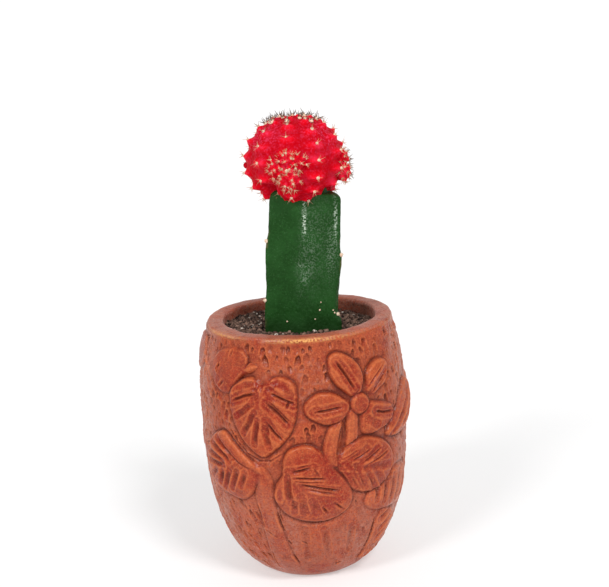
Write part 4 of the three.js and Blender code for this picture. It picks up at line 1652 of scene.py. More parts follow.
        # pale chalk patches, whose flecks also mark where painted glints fall
        chalk_and_glints = smoothstep(noise(place + 7, 9, 2) + front, 0.1, 0.7) * smoothstep(carving.free, 0, 1)
        flecks = smoothstep(noise(place, 1.1, 2), -0.3, 0.5)
        # paler towards the bottom; painted sheen at the wall's left and right sides
        low = smoothstep(-z, -52, -28) * (0.4 + 0.6 * side)
        ash[:wall_rows] = (0.6 * low + 1.2 * smoothstep(side, 0.78, 1)) * (1 - 0.5 * stain[:wall_rows])
        ash[:wall_rows] += 0.36 * chalk_and_glints * flecks
        # painted sheen on the lip and the top of the inner wall, most at the left and right sides
        ash += (0.2 + 0.8 * side[-1:]) * ((row >= wall_rows) & (row < wall_rows + 20))
        tones = {"hollow": deep * on_wall + inside, "crest": proud * on_wall, "stain": stain, "ash": ash}
        return {name: np.clip(tone, 0, 1) for name, tone in tones.items()}

    def _wear_and_glint(self, line: Array, points: Array, noise: LatticeNoise) -> Array:
        """Finds where the stain is rubbed off along the lip's outer edge, with a painted highlight on that
        edge at the front.

        Args:
            line: The (radius, height) of each ring.
            points: The points of the rings.
            noise: The noise that makes it uneven.

        Returns:
            The rubbed edge and its painted highlight at each point, from 0 to 1.
        """
        edge = bell(line[:, 1] - self.height + 1.0, 0.7) * (line[:, 0] > self.mouth_radius + 4)
        # a painted highlight on the edge at the front
        front = bell(points[..., 0] - 2, 6) * (points[..., 1] < 0)
        return edge[:, None] * np.clip(0.3 + 0.4 * noise(points, 14, 2) + 0.8 * front, 0, 1)


# ---------------------------------------------------------------- the rootstock


@dataclass(frozen=True)
class Streak:
    """A painted highlight: a pale streak that runs up the stem.

    Attributes:
        strength: How pale it is.
        away: How far it lies from the fold or the edge that it follows.
        width: Its half width.
        height: Height of its middle.
        reach: How far it runs up and down from there.
    """

    strength: float
    away: float
    width: float
    height: float
    reach: float

    def tone(self, distance: Array, height: Array) -> Array:
        """Its tone at distances from what it follows, and at heights."""
        across = bell(distance - self.away, self.width)
        return self.strength * across * bell(height - self.height, self.reach)


@dataclass
class Rootstock:
    """The green stem: three ribs, of which two face left and right and one points to the back.

    Attributes:
        foot: Height of its buried foot.
        top: Height of its tip.
        shoulder: Height where the ribs begin to close over its top.
        soil_height: Height of the soil it stands in.
        radius: Radius to a straight rib's edge at the soil.
        taper: How much narrower it gets for each millimetre.
        soil_entry: Height below which it narrows to its foot.
        lean: How far it leans to the right for each millimetre.
        rib_lines: The (height, radius) line of each rib's edge: back, left and right.
        areole_heights: The heights of each rib's areoles.
        face_fold: How deep the fold in the middle of each face is.
        face_bulge: How full the faces are.
        debris: The (azimuth, height) of each crumb that clings to it.
        fold_streaks: The painted highlights along the folds of the faces.
        face_streak: The painted highlight on the right face.
        edge_streaks: The painted highlights along the edge of the right face.
    """

    foot: float = 70
    top: float = 145
    shoulder: float = 139.5
    soil_height: float = 91.6
    radius: float = 16.3
    taper: float = 0.024
    foot_radius: float = 6
    soil_entry: float = 88.6
    graft_radius: float = 9.5
    rib_tops: tuple[float, float, float] = (144, 145, 142)
    lean: float = 0.056
    centre_x: float = 1.5
    rib_lines: tuple[Line, ...] = (
        ((88, 16.2), (92.5, 16.5), (95.4, 15.2), (112, 16.6), (115, 16.1), (117.4, 14.8), (134, 15.4),
         (139.5, 14.8)),
        ((88, 16.4), (100, 16.6), (104, 16.4), (108, 15.7), (123, 16.7), (126, 16.1), (128, 14.8),
         (139.5, 14.6)),
        ((88, 16.0), (94.8, 16.2), (97.5, 13.9), (102.8, 13.9), (116.8, 15.9), (119.4, 15.6), (122, 14.7),
         (138, 15.2)),
    )
    areole_heights: tuple[tuple[float, ...], ...] = ((93, 115), (104, 126), (97.2, 119.4))
    face_fold: float = 1.9
    face_bulge: float = 1.05
    debris: Line = ((35, 102.4), (33, 99.6), (52, 99.1), (54, 98.1), (24, 96.3), (-34, 95.9))
    edge_rounding: float = 1.2
    sides: int = 300
    rows: int = 300
    cushion_radius: float = 0.75
    lumps: float = 0.16
    fine_lumps: float = 0.07
    # painted highlights: the pale streaks along the folds and on the right face
    fold_streaks: tuple[Streak, ...] = (Streak(1.2, 0, 1.0, 132, 8), Streak(0.2, 0, 4, 117, 9))
    face_streak: Streak = Streak(0.09, 5, 8, 126, 16)
    edge_streaks: tuple[Streak, ...] = (Streak(0.8, 1.6, 0.35, 133, 7), Streak(0.15, 3, 1.5, 121, 9))
    finish: GreenSkin = field(default_factory=GreenSkin)

    @property
    def sector(self) -> float:
        """The angle between two ribs."""
        return TURN / len(self.rib_lines)

    def centre(self, height: Array) -> Array:
        """The axis's x at a height."""
        return self.centre_x + self.lean * (height - self.soil_height)

    def rib_edge(self, rib: Array, height: Array) -> Array:
        """Radius from the axis to a rib's edge.

        Args:
            rib: The rib's number: 0 is the back one, 1 the left one, 2 the right one.
            height: The height.

        Returns:
            The radius, which steps out below each areole and draws in to the next.
        """
        lines = [np.array(line).T for line in self.rib_lines]
        grown = [sum(np.interp(height + shift, *line) for shift in (-1, 0, 1)) / 3 for line in lines]
        rib_top = np.take(self.rib_tops, rib)
        buried = smoothstep(height, self.foot, self.soil_entry)
        rooted = mix(self.foot_radius, np.choose(rib, grown), buried)
        cut = np.clip((height - self.shoulder) / (rib_top - self.shoulder), 0, 1)
        return mix(self.graft_radius, rooted, np.sqrt(1 - cut**2))

    def surface(self, azimuth: Array, height: Array, grow: float = 0.0) -> tuple[Array, Array]:
        """The skin at azimuths and heights.

        Args:
            azimuth: Azimuths round the stem's own axis, in radians from the back rib.
            height: Heights.
            grow: How much larger than the stem the surface is.

        Returns:
            The points, and the angle of each from its nearest rib's edge.
        """
        nearest = np.round(azimuth / self.sector)
        from_rib = np.abs(azimuth - nearest * self.sector)
        edge = self.rib_edge(nearest.astype(int) % len(self.rib_lines), height)
        half = self.sector / 2
        straight = self.radius - self.taper * (height - self.soil_height)
        apothem = straight * math.cos(half) * self.face_bulge
        fold = self.face_fold * (1 - np.sqrt((1 - (from_rib / half) ** 1.5) ** 2 + 0.02))
        face = apothem / np.cos(half - from_rib) + fold
        share = np.clip(0.5 + (face - edge) / (2 * self.edge_rounding), 0, 1)
        radius = mix(face, edge, share) - self.edge_rounding * share * (1 - share)
        points = polar(radius + grow, azimuth + math.pi, height)
        points[..., 0] += self.centre(height)
        return points, from_rib

    def outline_radius(self, azimuth: Array, height: float, grow: float) -> Array:
        """The stem's points at one height, for the soil that meets it."""
        return self.surface(azimuth, np.full(azimuth.shape, height), grow)[0]

    def _crowded(self) -> Array:
        """Azimuths that crowd towards the rib edges.

        Returns:
            The azimuths, in radians from the back rib.
        """
        count = self.sides // (2 * len(self.rib_lines))
        half = (np.arange(count) / count) ** 1.6 * self.sector / 2
        one = np.sort(np.concatenate((half, self.sector - half[:0:-1], [self.sector / 2])))
        return np.concatenate([one + k * self.sector for k in range(len(self.rib_lines))])

    def _bloom(self, points: Array, azimuth: Array, height: Array, arc: Array, noise: LatticeNoise) -> Array:
        """Finds where the painted highlight lies: pale streaks along the folds and, on the right face, a
        faint pale tone and streaks along its edge.

        Args:
            points: The skin's points.
            azimuth: Their azimuths from the back rib.
            height: Their heights.
            arc: How far each lies from its nearest rib's edge.
            noise: The noise that makes it uneven.

        Returns:
            The painted highlight at each point, from 0 to 1.
        """
        fold = self.sector / 2 * self.radius - arc
        right_half = smoothstep(azimuth, 1.5 * self.sector - 0.35, 1.5 * self.sector + 0.1)
        along_folds = sum(streak.tone(fold, height) for streak in self.fold_streaks)
        along_edges = sum(streak.tone(arc, height) for streak in self.edge_streaks)
        right_face = (self.face_streak.tone(fold, height) + along_edges) * right_half
        patchy = np.clip(0.4 + 1.6 * noise(points, 3.5, 2), 0.1, 1.2)
        return np.clip(along_folds * patchy + right_face, 0, 1)

    def build(self, palette: Palette) -> None:
        """Makes the stem in the place of its node.

        Args:
            palette: The shared node groups.
        """
        noise = LatticeNoise(17)
        buried = np.linspace(self.foot, 88, 12)[:-1]
        heights = np.concatenate((buried, np.linspace(88, self.top, self.rows)))
        azimuth, height = np.meshgrid(self._crowded(), heights)
        points, from_rib = self.surface(azimuth, height)
        axis = np.stack((self.centre(height), 0 * height, 0 * height), axis=-1)
        outward = unit(points * (1, 1, 0) - axis)
        lift = self.lumps * noise(points * (1, 1, 0.5), 7, 2) + self.fine_lumps * noise(points, 1.6, 2)
        points = points + outward * lift[..., None]
        arc = from_rib * self.radius
        cork = bell(arc, 0.4) * smoothstep(noise(points, 5, 2), 0.0, 0.7) * 0.6
        # painted shade at the stem's tip and near the soil
        tip_shade = smoothstep(height, self.top - 1.6, self.top - 0.4)
        low = 0.55 * smoothstep(-height, -self.soil_height - 9, -self.soil_height - 1)
        tones = {"cork": cork, "bloom": self._bloom(points, azimuth, height, arc, noise)}
        foot, tip = (np.array((self.centre(end), 0, end)) for end in (self.foot, self.top))
        draft = Draft()
        draft.add_capped(foot, points, tip, **tones, shade=np.clip(tip_shade + low, 0, 1))
        draft.build("rootstock_flesh", self.finish.material(palette), Slot.GREEN_FLESH, "rootstock")

    def _standing(self, azimuth: float, height: float, rise: float) -> tuple[Array, Array]:
        """The place of a spot on the skin, and its outward direction with a rise."""
        return self.surface(azimuth, height)[0], polar(1.0, azimuth + math.pi, rise)

    def areoles(self) -> list[tuple[Array, Array]]:
        """The place and outward direction of each areole on the ribs.

        Returns:
            A pair for each areole.
        """
        return [
            self._standing(rib * self.sector, height, 0.25)
            for rib, heights in enumerate(self.areole_heights)
            for height in heights
        ]

    def specks(self) -> list[tuple[Array, Array]]:
        """The place and outward direction of each pale crumb that clings to the front."""
        return [self._standing(math.radians(turn) + math.pi, height, 0.0) for turn, height in self.debris]


# ---------------------------------------------------------------- areoles and spines


@dataclass(frozen=True)
class Spike:
    """One tapered, slightly bent spine or hair.

    Attributes:
        root: Where it starts.
        heading: Its direction there.
        length: Its length.
        width: Its radius at the root.
        bend: How far it bends, as a share of its length.
        tone: How dark its root and its tip are, if it has a tone.
    """

    root: Array
    heading: Array
    length: float
    width: float
    bend: float
    tone: tuple[float, float] | None = None


@dataclass(frozen=True)
class Cluster:
    """The spines of one areole.

    Attributes:
        count: How many there are.
        length: The longest one's length.
        spread: How far they lean over: 0 is upright and 2 nearly flat.
        tone: How dark they are, from 0 to 1.
        width: A spine's radius at its root.
    """

    count: int
    length: float
    spread: float
    tone: float
    width: float = 0.12


@dataclass
class Growths:
    """Wool tufts and spines, gathered for a plant.

    Attributes:
        seed: The seed of every random draw.
        root_depth: How deep the spines are rooted.
        fuzz: How many hairs a tuft has.
    """

    seed: int
    spine_rings: int = 6
    spine_sides: int = 5
    root_depth: float = 0.15
    fuzz: int = 16
    hair_width: float = 0.055
    hair_spread: float = 0.7
    flatness: float = 0.62
    wool: Draft = field(default_factory=Draft)
    spines: Draft = field(default_factory=Draft)

    def __post_init__(self) -> None:
        """Starts the stream of random draws."""
        self.draw = np.random.default_rng(self.seed)
        self.noise = LatticeNoise(self.seed)

    def _frame(self, normal: Array) -> tuple[Array, Array, Array]:
        """A unit normal and two directions across it.

        Args:
            normal: The normal, of any length.

        Returns:
            The unit normal and the two directions.
        """
        normal = unit(normal)
        across = unit(np.cross(UP if abs(normal[2]) < 0.9 else (1.0, 0, 0), normal))
        return normal, across, np.cross(normal, across)

    def tuft(self, spot: Array, normal: Array, radius: float) -> None:
        """Adds a felted cushion with short fuzz.

        Args:
            spot: Its middle, on the surface.
            normal: The surface's outward direction.
            radius: Its radius.
        """
        normal, across, along = self._frame(normal)
        ring = ball(7, 12)
        basis = np.stack((across, along, self.flatness * normal))
        lumpy = 1 + 0.22 * self.noise(ring * 2 + self.draw.uniform(0, 30, 3), 1.1)
        middle = spot + 0.12 * radius * normal
        points = middle + radius * (ring * lumpy[..., None]) @ basis
        self.wool.add_capped(middle - radius * basis[2], points, middle + radius * basis[2])
        for _ in range(self.fuzz):
            heading = unit(normal + self.draw.normal(0, self.hair_spread, 3))
            root = middle + heading * radius * 0.5
            self._spike(self.wool, Spike(root, heading, radius * 0.85, self.hair_width, 0.3))

    def _spike(self, draft: Draft, spike: Spike) -> None:
        """Adds one spike.

        Args:
            draft: The mesh that it goes into.
            spike: The spike.
        """
        _, across, along = self._frame(spike.heading)
        share = np.linspace(0, 1, self.spine_rings + 1)
        side = across * self.draw.normal() + along * self.draw.normal()
        side = spike.bend * spike.length * side * 0.35
        line = spike.root + np.outer(share * spike.length, spike.heading) + np.outer(share**2, side)
        turn = turns(self.spine_sides)
        rim = np.outer(np.cos(turn), across) + np.outer(np.sin(turn), along)
        thickness = spike.width * (1 - share[:-1]) ** 0.6
        rings = line[:-1, None, :] + thickness[:, None, None] * rim[None]
        values = {}
        if spike.tone:
            values["tone"] = np.repeat(mix(*spike.tone, share[:-1] ** 1.5), self.spine_sides)
        draft.add_capped(line[0], rings, line[-1], **values)

    def cluster(self, spot: Array, normal: Array, cluster: Cluster) -> None:
        """Adds spines that spread from one areole.

        Args:
            spot: The areole's middle.
            normal: The surface's outward direction.
            cluster: The spines.
        """
        normal, across, along = self._frame(normal)
        start = self.draw.uniform(0, TURN)
        for k in range(cluster.count):
            turn = start + (k + self.draw.uniform(-0.35, 0.35)) / cluster.count * TURN
            leaning = cluster.spread * self.draw.uniform(0.4, 1.2)
            heading = unit(normal + leaning * (math.cos(turn) * across + math.sin(turn) * along))
            reach = cluster.length * self.draw.uniform(0.65, 1)
            shade = float(np.clip(cluster.tone + self.draw.normal(0, 0.12), 0, 1))
            thick = cluster.width * self.draw.uniform(0.8, 1.1)
            tone = (shade * 0.8, min(1, shade + 0.25))
            root = spot - normal * self.root_depth
            self._spike(self.spines, Spike(root, heading, reach, thick, 0.3 + 0.5 * shade, tone))


# ---------------------------------------------------------------- the scion


@dataclass(frozen=True)
class Pup:
    """A small offset that sprouts from the globe.

    Attributes:
        azimuth: Where it sits round the globe.
        height: Height of its middle.
        reach: Distance of its middle from the globe's axis.
        size: Its half width, half depth and half height.
        areoles: How many areoles cover it.
        spine: Length of its spines.
        mound_width: How wide the mound under an areole is, in radians.
        mound_rise: How high it is.
        sunk: How far the flesh sinks between the mounds.
        lumps: How uneven the flesh is.
    """

    azimuth: float
    height: float
    reach: float
    size: tuple[float, float, float]
    areoles: int
    spine: float = 2.2
    mound_width: float = 0.24
    mound_rise: float = 0.6048
    sunk: float = 0.2646
    lumps: float = 0.08

    def centre(self, axis: float) -> Array:
        """The pup's middle, for a globe whose axis stands at that x."""
        return polar(self.reach, math.radians(self.azimuth), self.height) + (axis, 0, 0)

    def directions(self) -> list[Array]:
        """Directions from the middle to the areoles, on a spiral over the outer side.

        Returns:
            The directions, which are unit vectors.
        """
        out = polar(1.0, math.radians(self.azimuth), 0.0)
        draw = np.random.default_rng(int(self.height * 10))
        total = int(self.areoles * 1.7)
        found = []
        for k in range(total):
            rise = 1 - 2 * (k + 0.5) / total
            direction = polar(math.sqrt(1 - rise**2), k * GOLDEN_ANGLE, rise)
            found.append(unit(direction + draw.normal(0, 0.12, 3)))
        return [direction for direction in found if direction @ out > -0.05]

    def stretched(self, directions: Array) -> Array:
        """The surface without its mounds, in a set of directions.

        Args:
            directions: Directions from the middle.

        Returns:
            The points.
        """
        azimuth = math.radians(self.azimuth)
        side = (math.cos(azimuth), math.sin(azimuth), 0)
        basis = np.array((side, (side[1], -side[0], 0), UP))
        return (directions @ basis.T * self.size) @ basis

    def swollen(self, directions: Array, areoles: list[Array]) -> tuple[Array, Array]:
        """Swells the surface under each areole.

        Args:
            directions: Directions from the middle.
            areoles: The directions of the areoles.

        Returns:
            The surface in those directions, and how near each is to an areole, from 0 to 1.
        """
        nearest = np.max([directions @ areole for areole in areoles] or [0.0 * directions[..., 0]], axis=0)
        mound = bell(np.arccos(np.clip(nearest, -1, 1)), self.mound_width)
        swell = 1 + (self.mound_rise * mound - self.sunk) / (sum(self.size) / 3)
        return self.stretched(directions) * swell[..., None], mound


@dataclass
class Scion:
    """The red globe, with its chins, areoles, spines and pups.

    Attributes:
        centre: Its middle.
        squareness: The powers that fill it out above and below its middle.
        notches: Where it gives way to the stem's ribs, as azimuth, start, width and depth.
        tilt: How far its crown leans to the back, in degrees.
        first_rib: The azimuth of the first rib.
        chin_rise: How far a chin stands out.
        chin_lag: How far it lies below its areole, as a share of the pitch.
        chin_point: How pointed it is, from 0 to 1.
        areole_pitch: The angle between two areoles of a rib.
        first_areole: The angle from the crown to the first one.
        stock_top: Height of the stem's tip, inside the globe.
        dark_side: How far from the axis a pup has dark spines.
        pups: The offsets.
    """

    centre: tuple[float, float, float] = (1.5, 0, 154)
    radius: float = 18.1
    half_height: float = 16.3
    squareness: tuple[float, float] = (1.0, 0.92)
    notches: tuple[tuple[float, ...], ...] = ((-50, 114, 15, 0.42), (64, 123, 9, 0.22), (169, 114, 15, 0.42))
    tilt: float = 8.0
    ribs: int = 10
    first_rib: float = -9.0
    furrow_depth: float = 1.1
    furrow_sharpness: float = 1.2
    chin_rise: float = 1.0
    chin_lag: float = 0.06
    chin_point: float = 0.65
    areole_pitch: float = 20.0
    first_areole: float = 22.0
    areoles_per_rib: int = 7
    crown_dip: float = 0.8
    crown_reach: float = 0.22
    crown_areoles: int = 19
    crown_spines: Cluster = Cluster(4, 3.7, 0.8, 1.1, 0.27)
    stock_spines: Cluster = Cluster(3, 1.3, 1.0, 0.5)
    sides: int = 400
    rows: int = 240
    stock_top: float = 145
    spines_per_areole: int = 5
    spine_length: float = 2.9
    dark_side: float = 19
    lumps: float = 0.2
    crease_depth: float = 0.42
    pups: tuple[Pup, ...] = (
        Pup(-23, 153.4, 16.2, (3.0, 2.9, 3.5), 16),
        Pup(-8.5, 155.6, 16.4, (3.2, 2.6, 3.4), 16),
        Pup(5, 155.4, 16.9, (2.5, 2.2, 2.6), 10),
        Pup(-8, 149.6, 15.3, (3.9, 3.2, 4.3), 24),
        Pup(80, 154, 16.9, (2.9, 2.9, 3.1), 14),
        Pup(77, 149.4, 16.9, (3.5, 3.5, 3.7), 20),
        Pup(158, 151, 16.2, (4.0, 3.6, 4.6), 26),
        Pup(-96, 152.5, 17.5, (1.5, 1.6, 1.5), 0, 0.0),
    )
    finish: RedFlesh = field(default_factory=RedFlesh)
    wool: Wool = field(default_factory=Wool)
    horn: SpineHorn = field(default_factory=SpineHorn)

    def _placed(self, points: Array) -> Array:
        """Points of the upright globe, tilted back and moved to its centre.

        Args:
            points: The points.

        Returns:
            Where they are on the plant.
        """
        cosine, sine = math.cos(math.radians(self.tilt)), math.sin(math.radians(self.tilt))
        x, y, z = np.moveaxis(points, -1, 0)
        return np.stack((x, y * cosine + z * sine, z * cosine - y * sine), axis=-1) + np.array(self.centre)

    def globe(self, azimuth: Array, polar_angle: Array) -> tuple[Array, Array]:
        """The flesh at azimuths and angles from the crown, all in radians.

        Args:
            azimuth: The azimuths.
            polar_angle: The angles from the crown.

        Returns:
            The points, and how far each stands over the furrows, from 0 to 1.
        """
        ribs_round = (azimuth - math.radians(self.first_rib)) * self.ribs / TURN
        on_rib = np.cos(ribs_round * TURN)
        furrow = ((1 - on_rib) / 2) ** self.furrow_sharpness * self.furrow_depth
        areoles_down = (polar_angle - math.radians(self.first_areole)) / math.radians(self.areole_pitch)
        phase = areoles_down - 0.5 * (np.round(ribs_round) % 2) - self.chin_lag
        peak = mix(np.cos(phase * TURN), 1 - 2 * np.abs(np.sin(phase * math.pi)), self.chin_point)
        chin = self.chin_rise * peak * (0.5 + on_rib / 2)
        dip = self.crown_dip * bell(polar_angle, self.crown_reach)
        relief = (chin - furrow) * np.sin(polar_angle) ** 0.7 - dip
        cosine = np.cos(polar_angle)
        power = mix(*self.squareness, smoothstep(-cosine, -0.3, 0.5))
        level = np.sin(polar_angle) ** power * self._notched(azimuth, polar_angle)
        rise = np.sign(cosine) * np.abs(cosine) ** power
        points = polar((self.radius + relief) * level, azimuth, (self.half_height + relief) * rise)
        return self._placed(points), (chin - furrow) / (self.chin_rise + self.furrow_depth)

    def _notched(self, azimuth: Array, polar_angle: Array) -> Array:
        """Finds where the flesh gives way to the ribs of the stem.

        Args:
            azimuth: The azimuths.
            polar_angle: The angles from the crown.

        Returns:
            The share of the radius that is left.
        """
        gone = 0.0
        for turned, start, width, depth in self.notches:
            away = (np.degrees(azimuth) - turned + 180) % 360 - 180
            gone = gone + depth * bell(away, width) * smoothstep(np.degrees(polar_angle), start, start + 11)
        return 1 - gone

    def _normal(self, spot: Array) -> Array:
        """The globe's outward direction at a spot."""
        return unit((spot - np.array(self.centre)) * (1, 1, (self.radius / self.half_height) ** 2))

    def _rib_areoles(self, growths: Growths) -> None:
        """Adds the wool and the spines of the ribs, with more and darker ones near the crown.

        Args:
            growths: What they are added to.
        """
        found = []
        for rib, k in np.ndindex(self.ribs, self.areoles_per_rib):
            azimuth = math.radians(self.first_rib) + rib / self.ribs * TURN
            angle = math.radians(self.first_areole + (k + 0.5 * (rib % 2)) * self.areole_pitch)
            spot, _ = self.globe(np.array(azimuth), np.array(angle))
            if spot[2] > self.stock_top - 6:
                found.append((spot, angle))
        for spot, angle in found:
            normal, near_crown = self._normal(spot), float(bell(angle, 0.75))
            growths.tuft(spot, normal, growths.draw.uniform(0.42, 0.66))
            count = self.spines_per_areole + int(3 * near_crown) - int(growths.draw.integers(0, 2))
            growths.cluster(spot, normal, Cluster(count, self.spine_length, 1.2, 0.1 + 1.3 * near_crown))

    def _crown_areoles(self, growths: Growths) -> None:
        """Adds the young areoles that crowd on the crown, with long dark spines.

        Args:
            growths: What they are added to.
        """
        for k in range(self.crown_areoles):
            spot, _ = self.globe(np.array(k * GOLDEN_ANGLE), np.array(0.06 + 0.135 * math.sqrt(k)))
            normal = unit(self._normal(spot) + 0.2 * UP)
            growths.tuft(spot + 0.3 * normal, normal, growths.draw.uniform(0.6, 1.05))
            growths.cluster(spot, normal, self.crown_spines)

    def _grow_pup(self, pup: Pup, draft: Draft, growths: Growths, noise: LatticeNoise) -> None:
        """Adds one pup: its flesh, with a mound under each areole, its wool and its spines.

        Args:
            pup: The pup.
            draft: The mesh of the flesh.
            growths: The wool and the spines.
            noise: The noise that makes it uneven.
        """
        directions, areoles, centre = ball(56, 88), pup.directions(), pup.centre(self.centre[0])
        rings, mound = pup.swollen(directions, areoles)
        rings = rings + centre + pup.lumps * noise(rings, 0.9, 2)[..., None] * directions
        first, last = pup.swollen(np.array((-UP, UP)), areoles)[0] + centre
        # painted shade between the mounds and painted sheen on them
        hollow = np.clip(0.8 - 1.4 * mound, 0, 1)
        draft.add_capped(first, rings, last, hollow=hollow, crest=0.6 * mound, bloom=0.08)
        for direction in areoles:
            spot = pup.swollen(direction[None], areoles)[0][0] + centre
            growths.tuft(spot, direction, growths.draw.uniform(0.18, 0.42))
            tone = 0.8 if abs(spot[0] - self.centre[0]) > self.dark_side else 0.1
            growths.cluster(spot, direction, Cluster(6, pup.spine, 1.0, tone))

    def build(self, palette: Palette, stock: Rootstock) -> None:
        """Makes the flesh in the place of the scion's node, then the wool and the spines.

        Args:
            palette: The shared node groups.
            stock: The rootstock, whose own areoles have the same wool and spines.
        """
        noise = LatticeNoise(29)
        growths = Growths(seed=20261)
        draft = Draft()
        angle, turn = half_turns(self.rows), turns(self.sides)[None, :]
        points, standing = self.globe(turn + 0 * angle, angle + 0 * turn)
        away = unit(points - np.array(self.centre))
        creased = np.abs(noise(points, 2.4, 3))
        lift = self.lumps * noise(points, 3.4, 2) - self.crease_depth * (creased - 0.35)
        points = points + away * lift[..., None]
        ends = self.globe(np.zeros(2), np.array((math.pi, 0.0)))[0]
        # painted highlight on the upper left and right shoulders as seen from the front; painted shade in the
        # furrows and painted sheen on the chins
        shoulder = bell(angle - 0.95, 0.45) * bell(np.abs((turn + math.pi) % TURN - math.pi) - 0.95, 0.6)
        tones = {"hollow": np.clip(0.25 - standing * 1.1, 0, 1), "bloom": 0.04 + 0.42 * shoulder}
        draft.add_capped(ends[0], points, ends[1], crest=np.clip(standing * 1.5 + 0.08, 0, 1), **tones)
        self._rib_areoles(growths)
        self._crown_areoles(growths)
        for pup in self.pups:
            self._grow_pup(pup, draft, growths, noise)
        for spot, normal in stock.areoles():
            growths.tuft(spot, normal, stock.cushion_radius)
            growths.cluster(spot, normal, self.stock_spines)
        for spot, normal in stock.specks():
            growths.tuft(spot, normal, growths.draw.uniform(0.2, 0.38))
        draft.build("scion_flesh", self.finish.material(palette), Slot.RED_FLESH, "scion")
        growths.wool.build("areole_wool", self.wool.material(palette), Slot.RED_FLESH)
        growths.spines.build("spines", self.horn.material(palette), Slot.RED_FLESH)


# ---------------------------------------------------------------- the soil


